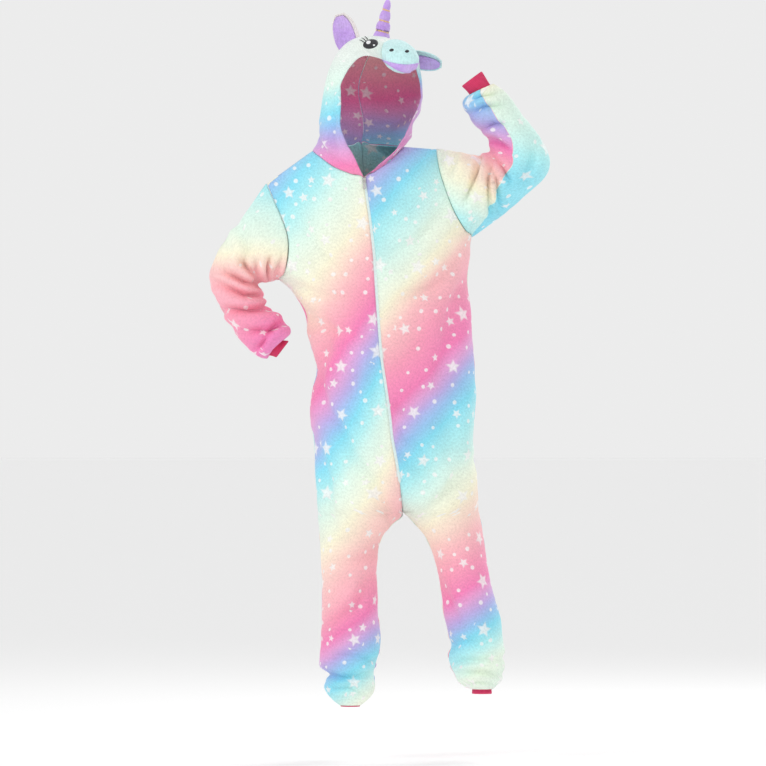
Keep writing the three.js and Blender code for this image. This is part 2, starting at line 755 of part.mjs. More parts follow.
const eyeShell = headSolid(SEAM_GAP + APPLIQUE).subtract(headFace);
const muzzleFace = muzzleSolid(SEAM_GAP);
const muzzleShell = muzzleSolid(SEAM_GAP + APPLIQUE).subtract(muzzleFace).subtract(headSolid(2 * SEAM_GAP));
for (const patch of PATCHES) {
  const place = fromHead(patch.u, patch.f, patch.h);
  const outline = oval(patch.width, patch.height, patch.tilt);
  const cutter = plug(outline, patch.depth, place, HOOD_HEADING + patch.turn);
  const shell = patch.name.startsWith('eye') ? eyeShell.subtract(muzzleFace) : muzzleShell;
  add(patch.name, toGeometry(cutter.intersect(shell)), COLOURS.black);
}

// Mouth: a crescent sewn round the front of the muzzle
const lip = [];
for (let k = 0; k <= MOUTH.steps; k += 1) {
  const t = k / MOUTH.steps * 2 - 1;
  lip.push([t * MOUTH.half, MOUTH.middle_top + (MOUTH.corner - MOUTH.middle_top) * t * t]);
}
for (let k = MOUTH.steps; k >= 0; k -= 1) {
  const t = k / MOUTH.steps * 2 - 1;
  lip.push([t * MOUTH.half, MOUTH.middle_low + (MOUTH.corner_low - MOUTH.middle_low) * t * t]);
}
const mouth = plug(lip, MOUTH.depth, fromHead(0, MOUTH.f, MOUTH.h), HOOD_HEADING);
add('mouth', toGeometry(mouth.intersect(muzzleShell)), COLOURS.lilac);

// Horn and its wound thread
function placeOnHead(geometry, foot) {
  const up = fromHead(HORN_LEAN.u, HORN_LEAN.f, 1).sub(fromHead(0, 0, 0)).normalize();
  geometry.rotateX(Math.PI / 2);
  geometry.applyQuaternion(new THREE.Quaternion().setFromUnitVectors(new THREE.Vector3(0, 0, 1), up));
  geometry.translate(foot.x, foot.y, foot.z);
  return plainManifold(geometry);
}

const hornFoot = fromHead(HORN_FOOT.u, HORN_FOOT.f, HORN_FOOT.h);
const hornOutline = [
  new THREE.Vector2(0, 0),
  ...HORN_PROFILE.map((row) => new THREE.Vector2(row.radius, row.height)),
  new THREE.Vector2(0, HORN_TIP),
];
const horn = placeOnHead(new THREE.LatheGeometry(hornOutline, HORN_SIDES), hornFoot);
add('horn', toGeometry(horn.subtract(headFace).subtract(muzzleFace)), COLOURS.lilac);
HORN_BANDS.forEach((band, i) => {
  const circle = Array.from({ length: 7 }, (_, k) => new THREE.Vector2(
    band.radius + BAND_THREAD + BAND_THREAD * cosine(60 * k),
    band.height + BAND_THREAD * sine(60 * k),
  ));
  const ring = placeOnHead(new THREE.LatheGeometry(circle, HORN_SIDES), hornFoot);
  add(`horn_band_${i + 1}`, toGeometry(ring), COLOURS.thread);
});

// Ears: a cupped leaf, and the lilac lining laid in its hollow
function earGrid(ear) {
  const along = ear.tip.clone().sub(ear.base);
  const face = ear.face.clone().addScaledVector(along, -ear.face.dot(along) / along.lengthSq()).normalize();
  const across = along.clone().normalize().cross(face);
  const last = EAR_OUTLINE.length - 1;
  return EAR_OUTLINE.map((part, i) => Array.from({ length: EAR_COLUMNS + 1 }, (_, j) => {
    const side = j / EAR_COLUMNS * 2 - 1;
    const cup = (1 - side * side) * ear.width * part * EAR_CUP;
    return ear.base.clone()
      .addScaledVector(along, i / last)
      .addScaledVector(across, side * ear.width * part)
      .addScaledVector(face, -cup);
  }));
}

for (const side of ['right', 'left']) {
  const ear = { grid: earGrid(EAR[side]), flip: false, edges: { start: open, end: open } };
  gatherNormals(ear);
  add(`ear_${side}`, toGeometry(toManifold(clothWall(ear, EAR_WALL)).subtract(headFace)), COLOURS.aqua);
  const lined = ear.grid.slice(0, -1).map((row) => row.slice(1, -1).map((point) => {
    const normal = sewnNormals.get(placeKey(point)).clone().normalize();
    return point.clone().addScaledVector(normal, SEAM_GAP + EAR_LINING);
  }));
  const lining = { grid: lined, flip: false, edges: { start: open, end: open } };
  gatherNormals(lining);
  const liningSolid = toManifold(clothWall(lining, EAR_LINING)).subtract(headFace);
  add(`ear_lining_${side}`, toGeometry(liningSolid), COLOURS.lilac);
}

// Zip slider: two plates joined above the chain, with a bridge for the pull. Its own frame lies on
// the chain, x across, y into the cloth, z up the chain.
const zipTop = fronts.right[NECK_ROW][0];
const zipBelow = fronts.right[NECK_ROW + 1][0];
const slope = Math.atan2(zipTop.y - zipBelow.y, zipTop.z - zipBelow.z);
const slider = zipTop.clone().lerp(zipBelow, SLIDER_DROP / (zipTop.z - zipBelow.z));

function onSlider(geometry) {
  geometry.rotateX(-slope);
  geometry.translate(slider.x, slider.y, slider.z);
  return plainManifold(geometry);
}

function block(width, depth, height, y, z) {
  const geometry = new THREE.BoxGeometry(width, depth, height);
  geometry.translate(0, y, z);
  return onSlider(geometry);
}

const sliderSolid = wasm.Manifold.union(
  SLIDER_PARTS.map((part) => block(part.width, part.depth, part.height, part.y, part.z)),
);
add('zip_slider', toGeometry(sliderSolid), COLOURS.nickel, 1);

// Pull: a flat drop with an eye that the bridge passes through
const eyeCentre = PULL_AXIS.z - (PULL_EYE + PULL_RING) / 2;
const pullOutline = new THREE.Shape();
pullOutline.absarc(0, eyeCentre, PULL_RING, 0, Math.PI, false);
pullOutline.lineTo(-PULL_NECK, eyeCentre - PULL_SHOULDER);
pullOutline.absarc(0, eyeCentre - PULL_LENGTH, PULL_WIDTH / 2, Math.PI * 0.9, Math.PI * 2.1, false);
pullOutline.lineTo(PULL_NECK, eyeCentre - PULL_SHOULDER);
const eyeHole = new THREE.Path();
eyeHole.absarc(0, eyeCentre, PULL_EYE, 0, Math.PI * 2, true);
pullOutline.holes.push(eyeHole);
const pullShape = { depth: PULL_THICK, bevelEnabled: false, curveSegments: 6 };
const pull = new THREE.ExtrudeGeometry(pullOutline, pullShape);
pull.rotateX(Math.PI / 2);
pull.translate(0, PULL_AXIS.y + PULL_THICK / 2, 0);
add('zip_pull', toGeometry(onSlider(pull)), COLOURS.nickel, 1);

export default group;
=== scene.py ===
# The unicorn onesie in its worn pose. Metres: +X is the wearer's left, -Y the front, +Z up.
import math

import bmesh
import bpy
import numpy as np
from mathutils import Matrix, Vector


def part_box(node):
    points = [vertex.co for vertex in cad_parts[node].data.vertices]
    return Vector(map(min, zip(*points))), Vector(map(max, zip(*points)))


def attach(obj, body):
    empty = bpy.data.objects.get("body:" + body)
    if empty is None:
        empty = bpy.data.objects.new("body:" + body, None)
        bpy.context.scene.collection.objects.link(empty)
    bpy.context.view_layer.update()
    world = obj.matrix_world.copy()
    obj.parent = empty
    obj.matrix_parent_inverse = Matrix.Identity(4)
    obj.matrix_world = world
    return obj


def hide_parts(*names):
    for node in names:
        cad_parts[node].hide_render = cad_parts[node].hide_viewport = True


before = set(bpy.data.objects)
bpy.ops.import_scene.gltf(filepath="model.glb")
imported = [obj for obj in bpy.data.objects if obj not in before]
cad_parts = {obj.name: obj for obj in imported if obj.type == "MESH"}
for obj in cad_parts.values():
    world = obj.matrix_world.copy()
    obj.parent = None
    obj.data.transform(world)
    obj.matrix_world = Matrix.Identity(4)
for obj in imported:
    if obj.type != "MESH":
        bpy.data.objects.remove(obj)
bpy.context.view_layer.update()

# ---------------------------------------------------------------- Printed fleece
# Short-pile flannel fleece, dyed in a rainbow that runs slantwise and printed with white stars
# and dots. The nap lies down the cloth and shows paler where it is brushed up.
RAINBOW = [
    (0.00, (0.72, 0.94, 0.85)), (0.075, (0.86, 0.94, 0.79)), (0.145, (0.96, 0.91, 0.70)),
    (0.22, (0.98, 0.76, 0.64)), (0.31, (0.98, 0.54, 0.56)), (0.42, (0.95, 0.36, 0.50)),
    (0.53, (0.92, 0.24, 0.50)), (0.61, (0.80, 0.38, 0.68)), (0.69, (0.52, 0.44, 0.80)),
    (0.76, (0.34, 0.58, 0.89)), (0.83, (0.27, 0.76, 0.92)), (0.92, (0.46, 0.87, 0.89)),
    (1.00, (0.72, 0.94, 0.85)),
]


def wire(tree, kind, inputs=None, **settings):
    node = tree.nodes.new(kind)
    for name, value in settings.items():
        setattr(node, name, value)
    for key, value in (inputs or {}).items():
        if isinstance(value, bpy.types.NodeSocket):
            tree.links.new(value, node.inputs[key])
        else:
            node.inputs[key].default_value = value
    return node


def math_node(tree, operation, a, b=0.0, c=0.0):
    return wire(tree, "ShaderNodeMath", {0: a, 1: b, 2: c}, operation=operation).outputs[0]


def new_group(name, inputs, outputs):
    tree = bpy.data.node_groups.new(name, "ShaderNodeTree")
    for label, kind in inputs:
        tree.interface.new_socket(name=label, in_out="INPUT", socket_type=kind)
    for label, kind in outputs:
        tree.interface.new_socket(name=label, in_out="OUTPUT", socket_type=kind)
    return tree, tree.nodes.new("NodeGroupInput"), tree.nodes.new("NodeGroupOutput")


FLOAT, VECTOR, COLOUR = "NodeSocketFloat", "NodeSocketVector", "NodeSocketColor"

# One scatter of stars (or dots where round is 1), one for each cell of the given size.
scatter, into, out = new_group(
    "star_scatter",
    [("Cloth", VECTOR), ("Cell", FLOAT), ("Radius", FLOAT), ("Share", FLOAT), ("Round", FLOAT)],
    [("Mask", FLOAT), ("Near", FLOAT)])
inverse = math_node(scatter, "DIVIDE", 1.0, into.outputs["Cell"])
scaled = wire(scatter, "ShaderNodeVectorMath", {0: into.outputs["Cloth"], "Scale": inverse},
              operation="SCALE").outputs[0]
cell = wire(scatter, "ShaderNodeTexVoronoi", {"Vector": scaled, "Scale": 1.0, "Randomness": 0.62},
            voronoi_dimensions="2D")
offset = wire(scatter, "ShaderNodeVectorMath", {0: scaled, 1: cell.outputs["Position"]},
              operation="SUBTRACT").outputs[0]
parts = wire(scatter, "ShaderNodeSeparateXYZ", {0: offset})
chance = wire(scatter, "ShaderNodeSeparateColor", {0: cell.outputs["Color"]})
turn = math_node(scatter, "MULTIPLY", chance.outputs[0], 6.283)
angle = math_node(scatter, "ARCTAN2", parts.outputs[1], parts.outputs[0])
angle = math_node(scatter, "ADD", math_node(scatter, "ADD", angle, turn), 12.566)
angle = math_node(scatter, "ABSOLUTE", math_node(
    scatter, "SUBTRACT", math_node(scatter, "MODULO", angle, 1.2566), 0.6283))
grow = math_node(scatter, "MULTIPLY_ADD", chance.outputs[1], 0.4, 0.75)
reach = math_node(scatter, "MULTIPLY", math_node(scatter, "MULTIPLY", into.outputs["Radius"], inverse), grow)
away = wire(scatter, "ShaderNodeVectorMath", {0: offset}, operation="LENGTH").outputs["Value"]
away = math_node(scatter, "DIVIDE", away, reach)
point = math_node(scatter, "MULTIPLY", math_node(scatter, "COSINE", angle), 0.29)
point = math_node(scatter, "ADD", point, math_node(
    scatter, "MULTIPLY", math_node(scatter, "SINE", angle), 0.60))
star = math_node(scatter, "SUBTRACT", math_node(scatter, "MULTIPLY", away, point), 0.29)
disc = math_node(scatter, "MULTIPLY", math_node(scatter, "SUBTRACT", away, 1.0), 0.4)
edge = wire(scatter, "ShaderNodeMix", {0: into.outputs["Round"], 2: star, 3: disc}).outputs[0]
mask = wire(scatter, "ShaderNodeMapRange", {0: edge, 1: 0.075, 2: -0.065, 3: 0.0, 4: 1.0}).outputs[0]
kept = math_node(scatter, "LESS_THAN", chance.outputs[2], into.outputs["Share"])
scatter.links.new(math_node(scatter, "MULTIPLY", mask, kept), out.inputs["Mask"])
near = math_node(scatter, "LESS_THAN", away, 1.45)
scatter.links.new(math_node(scatter, "MULTIPLY", near, kept), out.inputs["Near"])

# The nap: fine strands that lie along the cloth, clumped a little, and how pale they stand.
nap, into, out = new_group("fleece_nap", [("Cloth", VECTOR)], [("Height", FLOAT), ("Tone", FLOAT)])
strand = wire(nap, "ShaderNodeMapping", {0: into.outputs["Cloth"], 3: (620.0, 230.0, 1.0)})
fine = wire(nap, "ShaderNodeTexNoise", {"Vector": strand.outputs[0], "Scale": 1.0, "Detail": 3.0})
clump = wire(nap, "ShaderNodeTexNoise", {"Vector": into.outputs["Cloth"], "Scale": 190.0, "Detail": 3.0})
brushed = wire(nap, "ShaderNodeTexNoise", {"Vector": into.outputs["Cloth"], "Scale": 14.0, "Detail": 2.0})
height = math_node(nap, "MULTIPLY_ADD", clump.outputs[0], 2.2, fine.outputs[0])
nap.links.new(height, out.inputs["Height"])
tone = math_node(nap, "MULTIPLY_ADD", fine.outputs[0], 0.34, math_node(
    nap, "MULTIPLY_ADD", clump.outputs[0], 0.42, math_node(nap, "MULTIPLY_ADD", brushed.outputs[0], 0.16,
                                                           0.54)))
nap.links.new(tone, out.inputs["Tone"])

# The print: rainbow by the phase stored on the cloth, stars and dots by its own flat coordinates. Where Pale
# is set, the colour is mixed toward near-white: a painted highlight.
rainbow, into, out = new_group("rainbow_print", [("Phase", FLOAT), ("Pale", FLOAT), ("Cloth", VECTOR)],
                               [("Colour", COLOUR)])
drift = wire(rainbow, "ShaderNodeTexNoise", {"Vector": into.outputs["Cloth"], "Scale": 7.0, "Detail": 1.0})
phase = math_node(rainbow, "MULTIPLY_ADD", math_node(rainbow, "SUBTRACT", drift.outputs[0], 0.5), 0.07,
                  into.outputs["Phase"])
ramp = wire(rainbow, "ShaderNodeValToRGB", {0: math_node(rainbow, "FRACT", phase)})
while len(ramp.color_ramp.elements) < len(RAINBOW):
    ramp.color_ramp.elements.new(1.0)
for element, (place, colour) in zip(ramp.color_ramp.elements, RAINBOW):
    element.position = place
    element.color = (*colour, 1.0)
masks = []
for cell_size, radius, share, rounded in [
        (0.105, 0.0175, 0.78, 0.0), (0.071, 0.0105, 0.45, 0.0), (0.043, 0.0047, 0.80, 1.0)]:
    spread = wire(rainbow, "ShaderNodeGroup", node_tree=scatter)
    rainbow.links.new(into.outputs["Cloth"], spread.inputs["Cloth"])
    for label, value in zip(("Cell", "Radius", "Share", "Round"), (cell_size, radius, share, rounded)):
        spread.inputs[label].default_value = value
    masks.append(spread.outputs)
clear = math_node(rainbow, "SUBTRACT", 1.0, masks[0]["Near"])
small = math_node(rainbow, "MULTIPLY", masks[1]["Mask"], clear)
dots = math_node(rainbow, "MULTIPLY", masks[2]["Mask"], math_node(
    rainbow, "MULTIPLY", clear, math_node(rainbow, "SUBTRACT", 1.0, masks[1]["Near"])))
white = math_node(rainbow, "MAXIMUM", math_node(rainbow, "MAXIMUM", masks[0]["Mask"], small), dots)
white = math_node(rainbow, "MULTIPLY", white, 0.74)
# Painted highlight: the print mixed toward near-white as far as Pale asks.
with_painted_highlight = wire(rainbow, "ShaderNodeMix", {0: into.outputs["Pale"], 6: ramp.outputs[0],
                                        7: (0.90, 0.92, 0.88, 1.0)},
             data_type="RGBA")
printed = wire(rainbow, "ShaderNodeMix", {0: white, 6: with_painted_highlight.outputs[2], 7: (0.95, 0.94, 0.93, 1.0)},
               data_type="RGBA")
rainbow.links.new(printed.outputs[2], out.inputs["Colour"])


def fleece(name, phase_name=None, colour=None, sheen=0.3):
    material = bpy.data.materials.new(name)
    material.use_nodes = True
    tree = material.node_tree
    shader = tree.nodes["Principled BSDF"]
    cloth = wire(tree, "ShaderNodeUVMap", uv_map="cloth").outputs[0]
    pile = wire(tree, "ShaderNodeGroup", node_tree=nap)
    tree.links.new(cloth, pile.inputs["Cloth"])
    if phase_name:
        dyed = wire(tree, "ShaderNodeGroup", node_tree=rainbow)
        front_part = wire(tree, "ShaderNodeAttribute", attribute_name=phase_name).outputs["Fac"]
        back_part = wire(tree, "ShaderNodeAttribute", attribute_name="phase_beyond").outputs["Fac"]
        seam = wire(tree, "ShaderNodeAttribute", attribute_name="seam").outputs["Fac"]
        past = wire(tree, "ShaderNodeMapRange", {0: seam, 1: 0.0, 2: 1.5}).outputs[0]
        chosen = wire(tree, "ShaderNodeMix", {0: past, 2: front_part, 3: back_part}).outputs[0]
        tree.links.new(chosen, dyed.inputs["Phase"])
        # The "pale" attribute is a painted highlight on the top of the hood.
        tree.links.new(wire(tree, "ShaderNodeAttribute", attribute_name="pale").outputs["Fac"],
                       dyed.inputs["Pale"])
        tree.links.new(cloth, dyed.inputs["Cloth"])
        base = dyed.outputs[0]
    else:
        base = wire(tree, "ShaderNodeRGB").outputs[0]
        base.default_value = (*colour, 1.0)
    shade = wire(tree, "ShaderNodeVectorMath", {0: base, "Scale": pile.outputs["Tone"]}, operation="SCALE")
    tree.links.new(shade.outputs[0], shader.inputs["Base Color"])
    relief = wire(tree, "ShaderNodeBump", {"Strength": 0.7, "Distance": 0.0016,
                                           "Height": pile.outputs["Height"]})
    tree.links.new(relief.outputs[0], shader.inputs["Normal"])
    shader.inputs["Roughness"].default_value = 0.92
    shader.inputs["Sheen Weight"].default_value = sheen
    shader.inputs["Sheen Roughness"].default_value = 0.45
    shader.inputs["Specular IOR Level"].default_value = 0.2
    return material


fleece_outside = fleece("fleece_outside", "phase")
fleece_inside = fleece("fleece_inside", "phase_in", sheen=0.15)
# The inside of the cloth gets no painted highlight.
for link in list(fleece_inside.node_tree.links):
    if link.to_socket.name == "Pale":
        fleece_inside.node_tree.links.remove(link)

# ---------------------------------------------------------------- Body panels
# Two fronts and two backs, each cut in one from shoulder to ankle and sewn at the shoulders, sides,
# inseams and centre back. They are measured here in millimetres, as rows from the shoulder down.
def table(columns, rows):
    names = columns.split()
    return {name: np.array([row[i] for row in rows], float) for i, name in enumerate(names)}


YOKE_COLUMNS = "front_x front_z back_x back_z side_x side_z front back end"
YOKE = {
    "right": table(YOKE_COLUMNS, [
        (-113, 9, -113, 9, -219, -68, 0, 0, 90), (-94, -7, -90, 15, -206, -100, 45, 38, 66),
        (-60, -32, -55, 21, -190, -137, 78, 62, 58), (-19, -49, -20, 26, -172, -185, 98, 79, 52),
        (9.5, -58, 2, 27, -168, -225, 104, 84, 50), (17, -110, 8, -60, -172, -258, 118, 102, 56),
        (26, -175, 18, -150, -180, -280, 128, 116, 70), (33, -237, 32, -225, -191, -292, 134, 122, 90)]),
    "left": table(YOKE_COLUMNS, [
        (103, 19, 103, 19, 181, 13, 0, 0, 90), (88, 1, 82, 22, 184, -16, 45, 38, 66),
        (60, -24, 52, 25, 190, -46, 78, 62, 58), (32, -44, 26, 27, 205, -92, 97, 79, 54),
        (9.5, -58, 2, 27, 220, -130, 104, 84, 54), (17, -110, 8, -60, 236, -160, 118, 102, 60),
        (26, -175, 18, -150, 249, -179, 128, 116, 72), (33, -237, 32, -225, 262, -192, 134, 122, 90)]),
}
TRUNK = table("z front_x back_x right_x right_z left_x left_z front back turn", [
    (-300, 37, 45, -162, -318, 257, -245, 137, 125, 0), (-360, 41, 60, -131, -372, 255, -320, 137, 124, 0),
    (-425, 46, 84, -118, -428, 261, -405, 134, 122, 0), (-482, 51, 100, -104, -482, 268, -478, 132, 122, 0),
    (-555, 62, 106, -110, -555, 273, -555, 132, 128, 0), (-613, 70, 104, -116, -613, 270, -613, 130, 135, 0),
    (-660, 75, 101, -111, -660, 268, -660, 127, 138, 0), (-710, 84, 99, -107, -710, 269, -710, 123, 138, 0),
    (-764, 93, 98, -102, -764, 273, -764, 116, 132, 0), (-795, 96, 99, -99, -795, 276, -795, 112, 126, -22),
    (-820, 99, 100, -98, -820, 279, -820, 108, 120, -48), (-840, 101, 101, -96, -840, 281, -840, 105, 114,
                                                           -76)])
LEG = {
    "right": table("z inner outer front back", [
        (-853, 94, -96, 103, 110), (-875, 69, -95, 95, 102), (-909, 48, -94, 86, 92), (-970, 39, -91, 78, 84),
        (-1020, 41, -89, 74, 80), (-1085, 43, -89, 71, 76), (-1128, 49, -91, 71, 76),
                                                (-1165, 46, -93, 71, 75),
        (-1203, 35, -93, 66, 70), (-1224, 33, -75, 57, 61), (-1246, 36, -84, 62, 65),
                                                (-1264, 32, -77, 56, 58),
        (-1281, 18, -64, 42, 43), (-1293, 3, -49, 26, 27)]),
    "left": table("z inner outer front back", [
        (-853, 117, 283, 101, 108), (-875, 136, 287, 93, 99), (-909, 160, 292, 84, 90),
                                               (-970, 180, 301, 77, 83),
        (-1020, 189, 311, 73, 80), (-1085, 199, 330, 72, 77), (-1128, 208, 335, 71, 76),
                                               (-1152, 214, 338, 69, 74),
        (-1180, 208, 339, 70, 74), (-1202, 213, 338, 66, 70), (-1220, 222, 336, 62, 66),
                                               (-1236, 229, 331, 56, 59),
        (-1248, 244, 319, 42, 44), (-1255, 259, 312, 27, 28)]),
}
FINE = 6
NECK = 4 * FINE
ARMPIT = 7 * FINE
ZIP_FOOT = 16 * FINE
CROTCH = 19 * FINE
ACROSS = 40


def smooth(values, steps=FINE):
    """Values at finer steps along the first axis, on a smooth curve through the given ones."""
    last = len(values) - 1
    place = np.arange(last * steps + 1) / steps
    i = np.minimum(place.astype(int), last - 1)
    t = (place - i).reshape((-1,) + (1,) * (values.ndim - 1))
    a, b, c, d = (values[np.clip(i + k, 0, last)] for k in (-1, 0, 1, 2))
    into_slope, out_slope, rise = (c - a) / 2, (d - b) / 2, c - b
    return b + t * (into_slope + t * (3 * rise - 2 * into_slope - out_slope
                                      + t * (into_slope + out_slope - 2 * rise)))


def body_rows(side):
    yoke, leg, count = YOKE[side], LEG[side], len(TRUNK["z"])
    ends = {
        "front_x": (yoke["front_x"], TRUNK["front_x"], leg["inner"]),
        "front_z": (yoke["front_z"], TRUNK["z"], leg["z"]),
        "back_x": (yoke["back_x"], TRUNK["back_x"], leg["inner"]),
        "back_z": (yoke["back_z"], TRUNK["z"], leg["z"]),
        "side_x": (yoke["side_x"], TRUNK[side + "_x"], leg["outer"]),
        "side_z": (yoke["side_z"], TRUNK[side + "_z"], leg["z"]),
        "front": (yoke["front"], TRUNK["front"], leg["front"]),
        "back": (yoke["back"], TRUNK["back"], leg["back"]),
        "turn": (np.zeros(8), TRUNK["turn"], np.full(len(leg["z"]), -90.0)),
        "end": (yoke["end"], np.full(count, 90.0), np.full(len(leg["z"]), 90.0)),
    }
    rows = {name: smooth(np.concatenate(three)) for name, three in ends.items()}
    rows["end"] = np.minimum(rows["end"], 90)
    rows["turn"] = np.clip(rows["turn"], -90, 0)
    return rows


rows = {side: body_rows(side) for side in ("right", "left")}
for name in ("front_x", "front_z", "back_x", "back_z"):
    shared = (rows["right"][name] + rows["left"][name]) / 2
    for side in rows:
        rows[side][name][NECK:CROTCH + 1] = shared[NECK:CROTCH + 1]


def panel_points(side, face):
    r, which = rows[side], "front" if face < 0 else "back"
    share = np.arange(ACROSS + 1) / ACROSS
    angle = np.radians(r["turn"][:, None] + (r["end"] - r["turn"])[:, None] * share)
    start, end = np.sin(np.radians(r["turn"]))[:, None], np.sin(np.radians(r["end"]))[:, None]
    across = (np.sin(angle) - start) / (end - start)
    x = r[which + "_x"][:, None] + (r["side_x"] - r[which + "_x"])[:, None] * across
    z = r[which + "_z"][:, None] + (r["side_z"] - r[which + "_z"])[:, None] * across
    return np.stack([x, face * r[which][:, None] * np.cos(angle), z], axis=-1)


def flat_coordinates(points):
    """Arc lengths across and down a grid, in metres: how the cloth lies when it is cut."""
    across = np.linalg.norm(np.diff(points, axis=1), axis=2).cumsum(axis=1)
    across = np.hstack([np.zeros((len(points), 1)), across])
    down = np.linalg.norm(np.diff(points.mean(axis=1), axis=0), axis=1).cumsum()
    down = np.repeat(np.concatenate([[0], down])[:, None], points.shape[1], axis=1)
    return np.stack([across, -down], axis=-1) / 1000


def body_coordinates(points):
    """Across by arc length round the body, down by height: how the print lies on the panels."""
    step = np.linalg.norm(np.diff(points[..., :2], axis=1), axis=2).cumsum(axis=1)
    way = np.sign(points[:, -1:, 0] - points[:, :1, 0])
    across = points[:, :1, 0] + way * np.hstack([np.zeros((len(points), 1)), step])
    return np.stack([across, points[..., 2]], axis=-1) / 1000


def furrow(points, line, depth, width, side=0):
    """How far a soft trough (or a ridge, where depth is below 0) along a line of x, z points sinks."""
    line = np.array(line, float)
    flat = points[..., [0, 2]]
    best = np.full(flat.shape[:-1], 1e9)
    along = np.zeros(flat.shape[:-1])
    pieces = len(line) - 1
    for k in range(pieces):
        a, b = line[k], line[k + 1]
        t = np.clip(((flat - a) @ (b - a)) / ((b - a) @ (b - a)), 0, 1)
        gap = np.linalg.norm(flat - (a + t[..., None] * (b - a)), axis=-1)
        near = gap < best
        best = np.where(near, gap, best)
        along = np.where(near, (k + t) / pieces, along)
    fade = np.sin(np.pi * np.clip(0.08 + 0.84 * along, 0, 1)) ** 0.6
    bowl = np.exp(-(best / width) ** 2) - 0.45 * np.exp(-((best - 1.9 * width) / width) ** 2)
    facing = 1.0 if side == 0 else 1 / (1 + np.exp(-side * points[..., 1] / 6))
    return 2.1 * depth * fade * bowl * facing


def cloth_object(name, points, cloth, attributes, material_list, closed=False, flip=False, thickness=0.0025):
    """A cloth piece from a grid of points in millimetres: its outer face, walled inwards."""
    count_rows, count = points.shape[:2]
    mesh = bpy.data.meshes.new(name)
    faces = []
    for i in range(count_rows - 1):
        for j in range(count if closed else count - 1):
            k = (j + 1) % count
            face = [i * count + j, i * count + k, (i + 1) * count + k, (i + 1) * count + j]
            faces.append(face[::-1] if flip else face)
    mesh.from_pydata((points.reshape(-1, 3) / 1000).tolist(), [], faces)
    for label, values in attributes.items():
        mesh.attributes.new(label, "FLOAT", "POINT").data.foreach_set("value",
                                                                      values.reshape(-1).astype(float))
    uv = mesh.uv_layers.new(name="cloth")
    corners = np.zeros(len(mesh.loops), int)
    mesh.loops.foreach_get("vertex_index", corners)
    flat = cloth.reshape(-1, 2)[corners]
    if closed:
        wrap = cloth[0, -1, 0] + np.linalg.norm(points[0, 0] - points[0, -1]) / 1000
        per_face = flat.reshape(-1, 4, 2)
        jump = per_face[:, :, 0].max(axis=1) - per_face[:, :, 0].min(axis=1) > wrap / 2
        low = per_face[:, :, 0] < wrap / 2
        per_face[:, :, 0] += np.where(jump[:, None] & low, wrap, 0)
        flat = per_face.reshape(-1, 2)
    uv.data.foreach_set("uv", flat.reshape(-1))
    mesh.shade_smooth()
    for material in material_list:
        mesh.materials.append(material)
    obj = bpy.data.objects.new(name, mesh)
    bpy.context.collection.objects.link(obj)
    bpy.ops.object.select_all(action="DESELECT")
    bpy.context.view_layer.objects.active = obj
    obj.select_set(True)
    wall = obj.modifiers.new("wall", "SOLIDIFY")
    wall.thickness = thickness
    wall.offset = -1.0
    wall.use_quality_normals = True
    wall.material_offset = 1 if len(material_list) > 1 else 0
    bpy.ops.object.modifier_apply(modifier="wall")
    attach(obj, "garment")
    return obj


# Troughs (and ridges, below 0) that the front and back show: the line, its depth and width, and the
# face it is on. The sides' long drapes and the gathers above the ankles run round to the back.
BODY_FOLDS = [
    ([(-102, -503), (-81, -600), (-21, -675)], 5, 13, -1), ([(-38, -680), (40, -780), (80, -860)], 6, 14, -1),
    ([(-110, -660), (-75, -765), (-70, -850), (-45, -910)], 4, 12, -1),
    ([(60, -560), (100, -600), (150, -610)], 3, 10, -1), ([(72, -620), (105, -665), (150, -680)], 3, 9, -1),
    ([(88, -700), (130, -735), (185, -740)], 4, 12, -1), ([(250, -210), (180, -300), (90, -350)], 6, 16, -1),
    ([(255, -260), (215, -380), (190, -520)], 5, 18, -1), ([(-165, -330), (-100, -400), (0, -430)], 5, 14,
                                                           -1),
    ([(-180, -290), (-110, -330), (-30, -340)], 4, 11, -1), ([(-150, -160), (-90, -240), (-20, -290)], 4, 15,
                                                             -1),
    ([(20, -450), (10, -540), (30, -640)], -3, 16, -1), ([(200, -130), (140, -200), (70, -240)], 4, 13, -1),
    ([(255, -720), (200, -800), (150, -850)], 5, 15, -1), ([(188, -1000), (215, -1063), (238, -1109)], 5, 11,
                                                           -1),
    ([(-75, -1102), (-9, -1062), (17, -987)], 5, 12, -1), ([(60, -900), (0, -950), (-60, -960)], 4, 12, -1),
    ([(255, -560), (240, -680), (262, -800)], -4, 18, 0), ([(-95, -520), (-70, -420), (-95, -360)], 4, 14, 0),
    ([(-30, -150), (40, -240), (60, -380)], 5, 18, 1), ([(160, -160), (120, -260), (130, -420)], 5, 20, 1),
    ([(-90, -430), (20, -470), (120, -450)], 6, 15, 1), ([(250, -470), (160, -500), (60, -480)], 5, 13, 1),
    ([(-60, -560), (0, -680), (80, -820)], 6, 18, 1), ([(220, -600), (160, -720), (110, -830)], 6, 17, 1),
    ([(-80, -880), (-20, -900), (50, -880)], 5, 11, 1), ([(150, -880), (210, -905), (280, -890)], 5, 11, 1),
    ([(-70, -1050), (-10, -1090), (40, -1070)], 4, 12, 1), ([(200, -1040), (260, -1085), (320, -1070)], 4,
                                                            12, 1),
    ([(-80, -1180), (-20, -1170), (42, -1185)], 4, 8, 0), ([(-90, -1213), (-40, -1226), (30, -1214)], 5, 7,
                                                           0),
    ([(-70, -1256), (-30, -1248), (10, -1262)], 4, 6, 0), ([(215, -1190), (288, -1182), (337, -1180)], 5, 8,
                                                           0),
    ([(291, -1175), (310, -1166), (330, -1165)], 4, 6, -1), ([(241, -1216), (275, -1210), (330, -1218)], 5,
                                                             7, 0),
    ([(215, -1150), (250, -1140), (300, -1150)], 4, 9, 0), ([(245, -1242), (280, -1234), (318, -1240)], 4, 5,
                                                            0),
]
